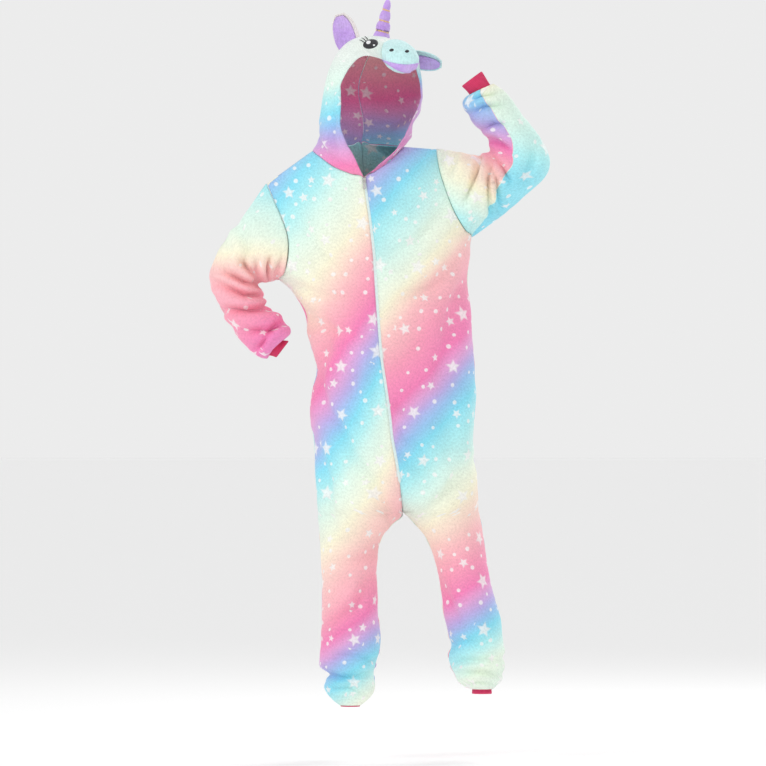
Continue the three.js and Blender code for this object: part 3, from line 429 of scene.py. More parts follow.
# How the rainbow runs down each front, along a line 20 mm to the wearer's right and 165 mm to the
# left of the neck: how far down each colour lies, and its place on the rainbow, counted in rounds.
RIGHT_BANDS = np.array([
    (-330, 0.60), (-200, 0.72), (-60, 0.88), (82, 1.04), (176, 1.14), (270, 1.29), (364, 1.42), (458, 1.58),
    (552, 1.72), (646, 1.86), (740, 1.99), (834, 2.10), (928, 2.25), (1022, 2.36), (1116, 2.57), (1210, 2.82),
    (1300, 3.08)])
LEFT_BANDS = np.array([
    (-120, 0.66), (-20, 0.80), (35, 0.90), (129, 0.985), (223, 1.10), (317, 1.30), (411, 1.43), (505, 1.53),
    (599, 1.73), (693, 1.88), (787, 2.00), (881, 2.19), (977, 2.35), (1071, 2.51), (1118, 2.64), (1212, 2.87),
    (1290, 3.05)])


def body_phase(side, face, points):
    x, down = points[..., 0], -points[..., 2]
    if face > 0:
        level = down + 0.6 * (60 - x) - 60
        return np.interp(level, *RIGHT_BANDS.T)
    if side == "right":
        steep = np.interp(down, (0, 250, 420, 760, 900, 1200), (1.2, 1.2, 1.65, 1.65, 1.0, 0.75))
        return np.interp(down + steep * (x + 20), *RIGHT_BANDS.T)
    steep = np.interp(down, (0, 650, 850), (1.12, 1.1, 0.7))
    return np.interp(down + steep * (x - 165), *LEFT_BANDS.T)


# The flat cut of each panel in metres: its greatest width, its length and its area.
PANEL_CUT = {("front", "right"): (0.316, 1.445, 0.300), ("back", "right"): (0.328, 1.458, 0.322),
             ("front", "left"): (0.293, 1.431, 0.306), ("back", "left"): (0.304, 1.447, 0.308)}
panels = {}
zip_edges = {}
for side in ("right", "left"):
    for face, name in ((-1, "front"), (1, "back")):
        points = panel_points(side, face)
        panels[name, side] = points.copy()
        phase = body_phase(side, face, points)
        cloth = flat_coordinates(points)
        printed_at = body_coordinates(points) + np.array([0.0, 0.35 if face > 0 else 0.0])
        middle_x = (points[:, :1, 0] + points[:, -1:, 0]) / 2
        outward = np.stack([points[..., 0] - middle_x, points[..., 1] * 1.0, np.zeros(phase.shape)], axis=-1)
        trunk = np.arange(len(points))[:, None] < CROTCH
        outward[..., 0] = np.where(trunk, points[..., 0] - 75, outward[..., 0])
        outward /= np.linalg.norm(outward, axis=2, keepdims=True) + 1e-6
        sink = sum(furrow(points, line, depth, width, facing)
                   for line, depth, width, facing in BODY_FOLDS)
        edge = np.minimum(cloth[..., 0], cloth[:, -1:, 0] - cloth[..., 0]) * 1000
        row = np.arange(len(points))[:, None]
        armhole = np.clip((cloth[:, -1:, 0] - cloth[..., 0]) * 1000 / 25, 0, 1) ** 1.5
        sink = sink * np.where(row <= ARMPIT, armhole, 1) * np.clip((row - 6) / 14, 0, 1)
        sink *= np.clip((cloth[..., 0] * 1000 - 4) / 18, 0, 1) if face < 0 else 1
        sink += 1.1 * np.exp(-(edge / 5.5) ** 2)
        points = points - outward * sink[..., None]
        inner = points[:, 1] - points[:, 0]
        inner /= np.linalg.norm(inner, axis=1, keepdims=True)
        opened = (row >= NECK) & (row <= ZIP_FOOT) if face < 0 else row < 0
        move = np.where(opened, 3.3, 0.15)
        fade = np.clip(1 - cloth[..., 0] * 1000 / 12, 0, 1)[..., None]
        points += inner[:, None] * move[..., None] * fade
        outer = points[:, -2] - points[:, -1]
        points[:, -1] += outer / np.linalg.norm(outer, axis=1, keepdims=True) * 0.15
        if face < 0:
            zip_edges[side] = points[:, 0].copy()
        obj = cloth_object(f"{name}_{side}_cloth", points, printed_at,
                           {"phase": phase, "phase_in": phase + 0.02},
                           [fleece_outside, fleece_inside], flip=(side == "left") == (face < 0))
        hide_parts(f"{name}_{side}")
        width, length, area = PANEL_CUT[name, side]

# ---------------------------------------------------------------- Sleeves
# One piece each, set into the armhole and sewn along the underarm. They are full at the elbow and
# crumple on the inside of the bend; the raised one shows its underarm seam and pleats at the pit.
SLEEVE_COLUMNS = "top_x top_z under_x under_z y depth"
SLEEVE = {
    "right": table(SLEEVE_COLUMNS, [
        (-256, -122, -205, -293, 4, 76), (-290, -170, -217, -292, 12, 74), (-325, -217, -227, -296, 22, 70),
        (-347, -265, -233, -304, 30, 66), (-345, -308, -236, -318, 30, 64), (-328, -350, -233, -338, 24, 62),
        (-304, -394, -219, -360, 14, 60), (-276, -436, -196, -378, 2, 57), (-250, -462, -175, -398, -8, 52),
        (-232, -474, -166, -420, -14, 42), (-217, -475, -192, -430, -18, 27)]),
    "left": table(SLEEVE_COLUMNS, [
        (218, 6, 298, -166, -4, 78), (252, -1, 344, -130, -14, 75), (281, -6, 392, -88, -26, 70),
        (301, -1, 430, -54, -38, 65), (309, 10, 442, -24, -46, 62), (308, 26, 434, 8, -52, 60),
        (298, 44, 410, 50, -58, 58), (275, 67, 377, 90, -64, 55), (255, 94, 347, 133, -70, 49),
        (243, 118, 325, 153, -73, 42), (254, 134, 310, 161, -75, 31)]),
}
SLEEVE_FOLDS = {
    "right": [
        ([(-236, -305), (-254, -278), (-276, -250)], 7, 8, -1),
              ([(-232, -296), (-240, -275), (-246, -257)], 6, 7, -1),
        ([(-222, -292), (-216, -268), (-210, -243)], 5, 7, -1),
              ([(-205, -288), (-190, -262), (-174, -232)], 4, 8, -1),
        ([(-238, -308), (-270, -300), (-316, -277)], 8, 9, -1),
              ([(-238, -330), (-270, -330), (-332, -300)], 8, 10, -1),
        ([(-214, -361), (-265, -366), (-324, -361)], 8, 10, -1),
              ([(-180, -396), (-215, -412), (-262, -415)], 6, 9, -1),
        ([(-300, -180), (-280, -225), (-300, -262)], -4, 12, -1),
              ([(-195, -400), (-225, -436), (-240, -455)], 4, 7, -1),
        ([(-236, -305), (-270, -290), (-330, -290)], 7, 11, 1),
              ([(-230, -350), (-270, -350), (-325, -335)], 6, 11, 1),
        ([(-210, -380), (-245, -395), (-290, -400)], 6, 10, 1),
              ([(-215, -250), (-250, -230), (-300, -220)], 5, 14, 1)],
    "left": [
        ([(223, -5), (216, -28), (205, -53)], 4, 8, -1), ([(284, -12), (266, -60), (247, -113)], 6, 8, -1),
        ([(302, -12), (300, -60), (304, -131)], 7, 7, -1), ([(309, -15), (318, -60), (326, -121)], 6, 7, -1),
        ([(303, 40), (322, 30), (345, 15)], 5, 7, -1), ([(310, -2), (330, -30), (350, -62)], 5, 7, -1),
        ([(290, 60), (310, 70), (345, 68)], 5, 8, -1), ([(262, 96), (290, 110), (335, 112)], 5, 8, -1),
        ([(262, 122), (285, 132), (318, 136)], 4, 6, 0), ([(380, -60), (400, -20), (405, 20)], 4, 12, -1),
        ([(300, -5), (320, -50), (345, -90)], 7, 11, 1), ([(310, 10), (350, 0), (410, -10)], 6, 11, 1),
        ([(270, -10), (280, -60), (300, -120)], 5, 12, 1), ([(290, 70), (325, 75), (370, 80)], 5, 10, 1)],
}
SLEEVE_FINE = 8
SLEEVE_CUT = {"right": (0.573, 0.568, 0.155), "left": (0.579, 0.551, 0.160)}


# Where the underarm seam runs round the raised sleeve, which has turned to face forward.
SEAM_SHARE, SEAM_ANGLE = (0, 0.1, 0.25, 0.45, 0.7, 1), (180, 143, 95, 72, 85, 90)


def sleeve_phase(side, points, row):
    x = points[..., 0]
    share = row / (11 * SLEEVE_FINE)
    down = -points[..., 2]
    if side == "right":
        level = np.interp(down, (60, 120, 190, 230, 270, 330, 400, 470),
                          (0.86, 0.95, 1.03, 1.12, 1.27, 1.34, 1.42, 1.48))
        level += 0.0012 * (x + 270) * np.clip(4 * share - 1.9, 0, 1)
        return level, level, 0 * level
    angle = 180 * np.arange(points.shape[1])[None, :] / ARMPIT
    seam = np.interp(share, SEAM_SHARE, SEAM_ANGLE)
    facing = np.interp(share, (0, 0.2, 0.4, 0.55, 0.7, 0.85, 1), (1.07, 1.20, 1.42, 1.56, 1.66, 1.74, 1.80))
    beyond = np.interp(share, (0, 0.3, 0.5, 0.8, 1), (0.83, 0.86, 0.92, 1.04, 1.13))
    facing = facing + 0.0006 * (angle - 60)
    facing -= 0.22 * np.clip((down - 60) / 90, 0, 1) * np.clip(1.6 - 4 * share, 0, 1)
    back = np.clip((angle - 250) / 60, 0, 1)
    return facing, beyond * (1 - back) + (facing - 0.25) * back, np.clip(angle - seam, -20, 20)


for side in ("right", "left"):
    front, back = panels["front", side], panels["back", side]
    armhole = np.concatenate([front[:ARMPIT + 1, -1], back[1:ARMPIT, -1][::-1]])
    turn = np.radians(180 * np.arange(len(armhole)) / ARMPIT)[None, :]
    s = SLEEVE[side]
    middle_x, middle_z = (s["top_x"] + s["under_x"]) / 2, (s["top_z"] + s["under_z"]) / 2
    rings = np.stack([
        middle_x[:, None] + (s["top_x"] - middle_x)[:, None] * np.cos(turn),
        s["y"][:, None] - s["depth"][:, None] * np.sin(turn),
        middle_z[:, None] + (s["top_z"] - middle_z)[:, None] * np.cos(turn)], axis=-1)
    points = smooth(np.concatenate([armhole[None], rings]), SLEEVE_FINE)
    row = np.arange(len(points))[:, None] * np.ones((1, points.shape[1]))
    phase, phase_beyond, past_seam = sleeve_phase(side, points, row)
    cloth = flat_coordinates(points) + np.array([0.0 if side == "right" else 0.31, 0.17])
    outward = points - points.mean(axis=1, keepdims=True)
    outward /= np.linalg.norm(outward, axis=2, keepdims=True)
    relative = points.copy()
    relative[..., 1] -= points[..., 1].mean(axis=1, keepdims=True)
    sink = sum(furrow(relative, line, depth, width, facing)
               for line, depth, width, facing in SLEEVE_FOLDS[side])
    sink *= 1.5 * np.clip(row / 6, 0, 1)
    sink += 1.1 * np.exp(-(row * 5.0 / 5.5) ** 2)
    seam = np.interp(row / (11 * SLEEVE_FINE), SEAM_SHARE, SEAM_ANGLE) if side == "left" else 180.0
    underarm = np.abs(180 * np.arange(points.shape[1])[None, :] / ARMPIT - seam) / 180 * 230
    sink += 2.2 * np.exp(-(underarm / 4.5) ** 2) * np.clip(row / 4, 0, 1)
    hem = np.clip((row - (10 * SLEEVE_FINE - 2)) / (SLEEVE_FINE + 2), 0, 1)
    gather = np.sin(np.arange(points.shape[1]) * 2 * np.pi * 17 / points.shape[1] + 0.8 * np.sin(row / 3))
    sink += 1.8 * hem * gather
    points = points - outward * sink[..., None]
    points[0] += (points[1] - points[0]) * 0.08
    dye = {"phase": phase, "phase_in": phase + 0.02, "phase_beyond": phase_beyond, "seam": past_seam}
    obj = cloth_object(f"sleeve_{side}_cloth", points, cloth, dye,
                       [fleece_outside, fleece_inside], closed=True, flip=side == "left")
    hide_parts(f"sleeve_{side}")
    width, length, area = SLEEVE_CUT[side]

# ---------------------------------------------------------------- Hood
# Two halves sewn over the crown and down the back of the neck, and set into the neckline. The rim
# is turned in, and its lower corners fall together in front of the throat.
HOOD = table("seam_f seam_h face_f face_h right left rim_right rim_left", [
    (-95, 64, 101, -4, 106, 104, 13, 44), (-103, 91, 101, 20, 108, 109, 26, 55),
    (-109, 120, 102, 52, 110, 114, 42, 57), (-112, 150, 106, 88, 112, 118, 52, 57),
    (-110, 180, 112, 122, 113, 119, 59, 59), (-100, 208, 116, 150, 112, 114, 60, 60),
    (-78, 242, 118, 172, 108, 104, 58, 58), (-42, 269, 119, 188, 100, 90, 56, 56),
    (2, 280, 120, 199, 91, 78, 54, 54), (46, 279, 121, 205, 77, 66, 52, 52),
    (79, 267, 121, 208, 59, 53, 50, 50), (102, 246, 121, 210, 39, 37, 50, 50),
    (115, 226, 121, 212, 16, 16, 50, 50)])
HEADING, TILT = 20.0, 11.0


def head_direction(u, f, h, tilt=TILT, heading=HEADING):
    """From the head's own frame (to the wearer's left, forward, up) to the garment's."""
    tilt, heading = np.radians(tilt), np.radians(heading)
    x = u * np.cos(tilt) + h * np.sin(tilt)
    z = h * np.cos(tilt) - u * np.sin(tilt)
    return np.stack([x * np.cos(heading) + f * np.sin(heading), x * np.sin(heading) - f * np.cos(heading),
                     z + 0 * x], axis=-1)


def from_head(u, f, h):
    return head_direction(*np.broadcast_arrays(u, f, h)) + np.array([2.0, 0, 0])


def hood_rings(side, angle):
    h = HOOD
    middle_f, middle_h = (h["seam_f"] + h["face_f"]) / 2, (h["seam_h"] + h["face_h"]) / 2
    width = -h["right"] if side == "right" else h["left"]
    t = np.clip((middle_h - 20) / 130, 0, 1)
    turned = (t * t * (3 - 2 * t))[:, None]
    cosine = np.cos(angle)
    return head_direction(width[:, None] * np.sin(angle), (h["face_f"] - middle_f)[:, None] * cosine,
                          (h["face_h"] - middle_h)[:, None] * cosine, TILT * turned, HEADING * turned
                          ) + from_head(0.0, middle_f, middle_h)[:, None]


HOOD_FOLDS = {
    "right": [([(-61, 94), (-66, 26), (-30, -38)], 4, 8, -1), ([(-100, 40), (-85, 0), (-50, -20)], 4, 9, -1),
              ([(-20, 190), (-52, 150), (-58, 96)], -3, 9, -1),
              ([(-90, 20), (-60, -12), (-20, -40)], 4, 6, -1),
              ([(-105, 60), (-60, 40), (0, 40)], 5, 12, 1), ([(-90, 20), (-40, 5), (20, 20)], 4, 9, 1)],
    "left": [([(150, 120), (125, 60), (90, -5)], 4, 8, -1), ([(110, 30), (80, -10), (40, -45)], 3, 6, -1),
             ([(140, 80), (80, 50), (20, 45)], 5, 12, 1), ([(110, 30), (60, 15), (10, 22)], 4, 9, 1)],
}
HOOD_CUT = {"right": (0.336, 0.439, 0.086), "left": (0.306, 0.432, 0.069)}
for side in ("right", "left"):
    front, back = panels["front", side], panels["back", side]
    neckline = np.concatenate([back[:NECK + 1, 0][::-1], front[1:NECK + 1, 0]])
    share = np.arange(len(neckline)) / (len(neckline) - 1)
    rim = HOOD["rim_" + side][:, None]
    points = smooth(np.concatenate([neckline[None], hood_rings(side, np.radians(180 + (rim - 180) * share))]))
    x, z = points[..., 0], points[..., 2]
    phase = np.clip(0.83 + (z - 95) * 0.0024, 0.4, 1.0) if side == "right" else np.clip(
        0.64 + (z - 95) * 0.0006 + np.clip(z - 150, 0, 80) * 0.004, 0.5, 1.0)
    # Painted highlight: the top of the hood is mixed toward near-white, more the higher it lies above 150 mm.
    rise = np.clip((z - 150) / 90, 0, 1)
    pale = 0.75 * rise * rise * (3 - 2 * rise)
    phase_in = 0.5 + (150 - z) * (0.0026 if side == "left" else 0.0018)
    cloth = flat_coordinates(points) + np.array([0.12, 0.4])
    outward = points - np.array([10.0, 0, 0]) - np.array([0, 0, 1.0]) * np.clip(z, 0, 170)[..., None]
    outward[..., 0] -= 0.12 * np.clip(z, 0, 300)
    outward /= np.linalg.norm(outward, axis=2, keepdims=True) + 1e-6
    sink = sum(furrow(points, line, depth, width, facing) for line, depth, width, facing in HOOD_FOLDS[side])
    row = np.arange(len(points))[:, None]
    column = np.arange(points.shape[1])[None, :]
    to_rim = (cloth[:, -1:, 0] - cloth[..., 0]) * 1000
    to_seam = (cloth[..., 0] - cloth[:, :1, 0]) * 1000
    sink = sink * np.clip(row / 8, 0, 1) * np.clip(to_seam / 20, 0, 1)
    sink += 1.5 * np.exp(-(row * 4.5 / 4.5) ** 2) + 1.6 * np.exp(-(to_seam / 4.0) ** 2)
    sink += 1.3 * np.exp(-((to_rim - 22) / 3.5) ** 2) - 1.4 * np.exp(-((to_rim - 8) / 8) ** 2)
    points = points - outward * sink[..., None]
    inward = points[:, 1] - points[:, 0]
    points[:, 0] += inward / np.linalg.norm(inward, axis=1, keepdims=True) * 0.15
    points[0] += (points[1] - points[0]) * 0.05
    obj = cloth_object(f"hood_{side}_cloth", points, cloth, {"phase": phase, "phase_in": phase_in,
                                                             "pale": pale},
                       [fleece_outside, fleece_inside], flip=side == "left")
    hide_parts(f"hood_{side}")
    width, length, area = HOOD_CUT[side]

# ---------------------------------------------------------------- Zip
# A moulded zip from the throat to the crotch: pale tape sewn under both fronts, two rows of
# interlocking teeth on it, and a nickel slider with a flat drop pull.
aqua_tape = fleece("zip_tape", colour=(0.80, 0.90, 0.88), sheen=0.05)
tape_tree = aqua_tape.node_tree
weave = wire(tape_tree, "ShaderNodeTexWave", {"Vector": wire(tape_tree,
                                                             "ShaderNodeTexCoord").outputs["Object"],
                                              "Scale": 900.0, "Distortion": 0.4}, bands_direction="Z")
tape_bump = wire(tape_tree, "ShaderNodeBump", {"Strength": 0.4, "Distance": 0.0003,
                                               "Height": weave.outputs[1]})
tape_tree.links.new(tape_bump.outputs[0], tape_tree.nodes["Principled BSDF"].inputs["Normal"])
moulded = bpy.data.materials.new("zip_teeth")
moulded.use_nodes = True
shader = moulded.node_tree.nodes["Principled BSDF"]
grain = wire(moulded.node_tree, "ShaderNodeTexNoise",
             {"Vector": wire(moulded.node_tree, "ShaderNodeTexCoord").outputs["Object"], "Scale": 900.0})
tint = wire(moulded.node_tree, "ShaderNodeMix", {0: grain.outputs[0], 6: (0.72, 0.90, 0.91, 1),
                                                 7: (0.86, 0.96, 0.96, 1)},
            data_type="RGBA")
moulded.node_tree.links.new(tint.outputs[2], shader.inputs["Base Color"])
shader.inputs["Roughness"].default_value = 0.38

left_edge, right_edge = zip_edges["left"][NECK:ZIP_FOOT + 2], zip_edges["right"][NECK:ZIP_FOOT + 2]
middle = (left_edge + right_edge) / 2
lengths = np.concatenate([[0], np.linalg.norm(np.diff(middle, axis=0), axis=1).cumsum()])
stations = np.arange(0, lengths[-1], 3.0)
chain = np.stack([np.interp(stations, lengths, middle[:, k]) for k in range(3)], axis=-1)
down = np.gradient(chain, axis=0)
down /= np.linalg.norm(down, axis=1, keepdims=True)
across = np.cross(down, (0.0, -1.0, 0.0))
across /= np.linalg.norm(across, axis=1, keepdims=True)
if across[0, 0] < 0:
    across = -across
front_of = np.cross(across, down)
front_of *= np.sign(-front_of[:, 1:2])
places = np.array([-5.6, -4.2, -1.4, 0, 1.4, 4.2, 5.6])
tape = chain[:, None] + across[:, None] * places[None, :, None] - front_of[:, None] * 1.9
tape[:, 2:5] += front_of[:, None] * 0.5
zip_tape = cloth_object("zip_tape", tape, flat_coordinates(tape), {}, [aqua_tape], flip=False,
                        thickness=0.0008)

bpy.ops.object.select_all(action="DESELECT")
bpy.ops.mesh.primitive_cube_add(size=1, location=(0.75, 6.0, 0.75))
zip_teeth = bpy.context.object
zip_teeth.name = "zip_teeth"
zip_teeth.scale = (3.1, 1.0, 1.6)
bpy.ops.object.transform_apply(location=True, rotation=True, scale=True)
for corner in zip_teeth.data.vertices:
    if corner.co.z > 0.75:
        corner.co.x = 0.75 + (corner.co.x - 0.75) * 0.72
        corner.co.y = 6.0 + (corner.co.y - 6.0) * 0.72
bpy.ops.object.mode_set(mode="EDIT")
bpy.ops.mesh.select_all(action="SELECT")
bpy.ops.mesh.bevel(offset=0.14, segments=1, affect="EDGES")
bpy.ops.object.mode_set(mode="OBJECT")
rows = zip_teeth.modifiers.new("row", "ARRAY")
rows.use_relative_offset, rows.use_constant_offset = False, True
rows.constant_offset_displace = (0, 2.7, 0)
rows.count = int((lengths[-1] - 12) / 2.7)
pair = zip_teeth.modifiers.new("pair", "ARRAY")
pair.use_relative_offset, pair.use_constant_offset = False, True
pair.constant_offset_displace = (-1.5, 1.35, 0)
pair.count = 2
bpy.ops.object.modifier_apply(modifier="row")
bpy.ops.object.modifier_apply(modifier="pair")
for corner in zip_teeth.data.vertices:
    sideways, station, proud = corner.co
    spot = [np.interp(station, lengths, middle[:, k]) for k in range(3)]
    i = int(np.clip(np.searchsorted(stations, station), 1, len(stations) - 1))
    corner.co = Vector((spot + across[i] * sideways - front_of[i] * (1.5 - proud)) / 1000)
zip_teeth.data.materials.append(moulded)
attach(zip_teeth, "garment")
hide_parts("zip_chain")

nickel = bpy.data.materials.new("nickel")
nickel.use_nodes = True
tree = nickel.node_tree
shader = tree.nodes["Principled BSDF"]
shader.inputs["Metallic"].default_value = 1.0
body_place = wire(tree, "ShaderNodeTexCoord").outputs["Object"]
rub = wire(tree, "ShaderNodeTexNoise", {"Vector": body_place, "Scale": 420.0, "Detail": 4.0})
plated = wire(tree, "ShaderNodeMix", {0: rub.outputs[0], 6: (0.50, 0.49, 0.47, 1), 7: (0.74, 0.73, 0.71, 1)},
              data_type="RGBA")
tree.links.new(plated.outputs[2], shader.inputs["Base Color"])
worn = wire(tree, "ShaderNodeMapRange", {0: rub.outputs[0], 3: 0.16, 4: 0.34})
tree.links.new(worn.outputs[0], shader.inputs["Roughness"])
fine_rub = wire(tree, "ShaderNodeBump", {"Strength": 0.15, "Distance": 0.0002, "Height": rub.outputs[0]})
tree.links.new(fine_rub.outputs[0], shader.inputs["Normal"])
for name in ("zip_slider", "zip_pull"):
    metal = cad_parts[name]
    metal.data.materials.clear()
    metal.data.materials.append(nickel)

# ---------------------------------------------------------------- Cuffs
# Folded tubes of crimson rib knit, gathered onto the ends of the sleeves and legs. The ribs run
# along the arm, and the fold at the end is soft.
rib_knit = bpy.data.materials.new("rib_knit")
rib_knit.use_nodes = True
tree = rib_knit.node_tree
shader = tree.nodes["Principled BSDF"]
cloth_place = wire(tree, "ShaderNodeUVMap", uv_map="cloth").outputs[0]
wales = wire(tree, "ShaderNodeTexWave", {"Vector": cloth_place, "Scale": 95.0, "Distortion": 0.6,
                                         "Detail": 1.0,
                                         "Detail Scale": 3.0}, bands_direction="X")
stitch = wire(tree, "ShaderNodeTexWave", {"Vector": cloth_place, "Scale": 210.0, "Distortion": 1.5},
              bands_direction="Y")
dye = wire(tree, "ShaderNodeTexNoise", {"Vector": cloth_place, "Scale": 60.0, "Detail": 2.0})
depth_of = math_node(tree, "MULTIPLY_ADD", stitch.outputs[1], 0.3, wales.outputs[1])
# The colour is the dye's random tone, darkened in the troughs between the ribs and stitches: that darkening
# is painted shade.
red_with_painted_rib_shade = wire(tree, "ShaderNodeMix", {0: math_node(tree, "MULTIPLY_ADD", dye.outputs[0], 0.5, math_node(
    tree, "MULTIPLY", depth_of, 0.4)), 6: (0.52, 0.012, 0.07, 1), 7: (0.84, 0.06, 0.19, 1)}, data_type="RGBA")
tree.links.new(red_with_painted_rib_shade.outputs[2], shader.inputs["Base Color"])
ribs = wire(tree, "ShaderNodeBump", {"Strength": 0.6, "Distance": 0.0006, "Height": depth_of})
tree.links.new(ribs.outputs[0], shader.inputs["Normal"])
shader.inputs["Roughness"].default_value = 0.85
shader.inputs["Sheen Weight"].default_value = 0.12
CUFFS = {
    "wrist_cuff_right": ((-213, -471), (-194, -435), (-196, -476), (-167, -437), -18, 23),
    "wrist_cuff_left": ((258, 137), (306, 159), (238, 158), (285, 193), -76, 27),
    "ankle_cuff_right": ((-46, -1290), (0, -1290), (-46, -1296), (0, -1296), 0, 23),
    "ankle_cuff_left": ((262, -1252), (309, -1252), (263, -1266), (310, -1266), 0, 24),
}
CUFF_AROUND, RIBS = 240, 48
for name, (seam_a, seam_b, end_a, end_b, y, depth) in CUFFS.items():
    seam_a, seam_b, end_a, end_b = (np.array(v, float) for v in (seam_a, seam_b, end_a, end_b))
    tuck = seam_a + seam_b - end_a - end_b
    tuck *= 9 / np.linalg.norm(tuck)
    stations = np.linspace(0, 1, 15)
    turn = np.linspace(0, 2 * np.pi, CUFF_AROUND, endpoint=False)
    grid = []
    for t in stations:
        low, high = (seam_a + tuck) * (1 - t) + end_a * t, (seam_b + tuck) * (1 - t) + end_b * t
        middle, arm = (low + high) / 2, (low - high) / 2
        waist = 1 - 0.045 * math.sin(math.pi * t) - 0.05 * max(0.0, (t - 0.9) / 0.1) ** 2
        swell = waist + 0.016 * np.cos(RIBS * turn) + 0.012 * np.cos(3 * turn + 5 * t)
        grid.append(np.stack([middle[0] + arm[0] * np.cos(turn) * swell, y - depth * np.sin(turn) * swell,
                              middle[1] + arm[1] * np.cos(turn) * swell], axis=-1))
    grid = np.array(grid)
    side = grid[0, CUFF_AROUND // 4] - grid[0, 0]
    facing = np.cross(side, grid[0, CUFF_AROUND // 2] - grid[0, 0])[[0, 2]] @ tuck
    cuff = cloth_object(name + "_knit", grid, flat_coordinates(grid), {}, [rib_knit], closed=True,
                        flip=facing > 0)
    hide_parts(name)

# ---------------------------------------------------------------- Muzzle
# A stuffed cup of pale aqua fleece sewn over the front of the hood, with a lilac padded mouth and
# two small black nostrils sewn on it. The seam round its back pulls in.
aqua_fleece = fleece("aqua_fleece", colour=(0.50, 0.86, 0.86), sheen=0.3)
lilac_fleece = fleece("lilac_fleece", colour=(0.50, 0.24, 0.80), sheen=0.35)
for material in (aqua_fleece, lilac_fleece):
    tree = material.node_tree
    place = wire(tree, "ShaderNodeTexCoord").outputs["Object"]
    for node in tree.nodes:
        if node.type == "GROUP":
            tree.links.new(place, node.inputs["Cloth"])
        if node.type == "RGB":
            base = node
    patchy = wire(tree, "ShaderNodeTexNoise", {"Vector": place, "Scale": 24.0, "Detail": 2.0})
    paler = wire(tree, "ShaderNodeMix", {0: patchy.outputs[0], 6: base.outputs[0], 7: tuple(
        0.45 + 0.55 * v for v in base.outputs[0].default_value[:3]) + (1.0,)}, data_type="RGBA")
    paler.inputs[0].default_value = 0.5
    for link in list(base.outputs[0].links):
        if link.to_node.type == "VECT_MATH":
            tree.links.new(paler.outputs[2], link.to_socket)


def mesh_object(name, points, faces, material, body="garment"):
    mesh = bpy.data.meshes.new(name)
    mesh.from_pydata([tuple(p) for p in points], [], faces)
    mesh.materials.append(material)
    obj = bpy.data.objects.new(name, mesh)
    bpy.context.collection.objects.link(obj)
    bm = bmesh.new()
    bm.from_mesh(mesh)
    bmesh.ops.remove_doubles(bm, verts=bm.verts, dist=1e-6)
    bmesh.ops.recalc_face_normals(bm, faces=bm.faces)
    bm.to_mesh(mesh)
    bm.free()
    mesh.shade_smooth()
    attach(obj, body)
    return obj


def apply_modifiers(obj):
    bpy.ops.object.select_all(action="DESELECT")
    bpy.context.view_layer.objects.active = obj
    obj.select_set(True)
    for modifier in list(obj.modifiers):
        bpy.ops.object.modifier_apply(modifier=modifier.name)


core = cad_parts["muzzle"]
muzzle = bpy.data.objects.new("muzzle_pad", core.data.copy())
bpy.context.collection.objects.link(muzzle)
muzzle.data.materials.clear()
muzzle.data.materials.append(aqua_fleece)
remesh = muzzle.modifiers.new("even", "REMESH")
remesh.mode, remesh.voxel_size = "VOXEL", 0.0022
relax = muzzle.modifiers.new("relax", "SMOOTH")
relax.factor, relax.iterations = 0.6, 14
apply_modifiers(muzzle)
muzzle.data.shade_smooth()
ahead = Vector(head_direction(0.0, 1.0, 0.0)).normalized()
upward = Vector(head_direction(0.0, 0.0, 1.0)).normalized()
aside = ahead.cross(upward).normalized()
pad_middle = Vector(from_head(8.0, 128.0, 232.0) / 1000)
for vertex in muzzle.data.vertices:
    offset_from = vertex.co - pad_middle
    forward = offset_from.dot(ahead)
    ripple = math.sin(31 * math.atan2(offset_from.dot(upward), offset_from.dot(aside)))
    vertex.co += offset_from.normalized() * (0.0009 * ripple * math.exp(-((forward + 0.020) / 0.008) ** 2))
    vertex.co += offset_from.normalized() * 0.0012
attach(muzzle, "garment")
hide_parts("muzzle")


def laid_patch(name, targets, place, look, outline, height, material, lift=0.0004, rings=9, sink=0.0012):
    """A small padded piece sewn on: outline(angle) gives its edge in the plane seen along look."""
    right = look.cross(Vector((0, 0, 1))).normalized()
    up = right.cross(look).normalized()
    around = 56
    found = []
    for k in range(rings + 1):
        for j in range(around):
            x, y = outline(2 * math.pi * j / around)
            start = place + right * x * k / rings + up * y * k / rings - look * 0.12
            best = None
            for target in targets:
                hit, spot, normal, _ = target.ray_cast(start, look)
                if hit and (best is None or (spot - start).length < (best[0] - start).length):
                    best = (spot, normal)
            if best is None:
                best = (found[-1][0] if found else start + look * 0.12, -look)
            found.append(best)
    top, low = [], []
    for index, (spot, normal) in enumerate(found):
        r = (index // around) / rings
        top.append(spot + normal * (lift + height * math.sqrt(max(0.0, 1 - r ** 2.6))))
        low.append(spot - normal * sink)
    points = top + low
    faces = []
    count = len(top)
    for k in range(rings):
        for j in range(around):
            a, b = k * around + j, k * around + (j + 1) % around
            faces.append((a, b, b + around, a + around))
            faces.append((count + a, count + a + around, count + b + around, count + b))
    edge = rings * around
    for j in range(around):
        a, b = edge + j, edge + (j + 1) % around
        faces.append((a, b, count + b, count + a))
    return mesh_object(name, points, faces, material)


def oval(width, height, tilt, shift=(0.0, 0.0)):
    c, s = math.cos(math.radians(tilt)), math.sin(math.radians(tilt))

    def edge(angle):
        x, y = width / 2 * math.cos(angle), height / 2 * math.sin(angle)
        return x * c - y * s + shift[0], x * s + y * c + shift[1]
    return edge


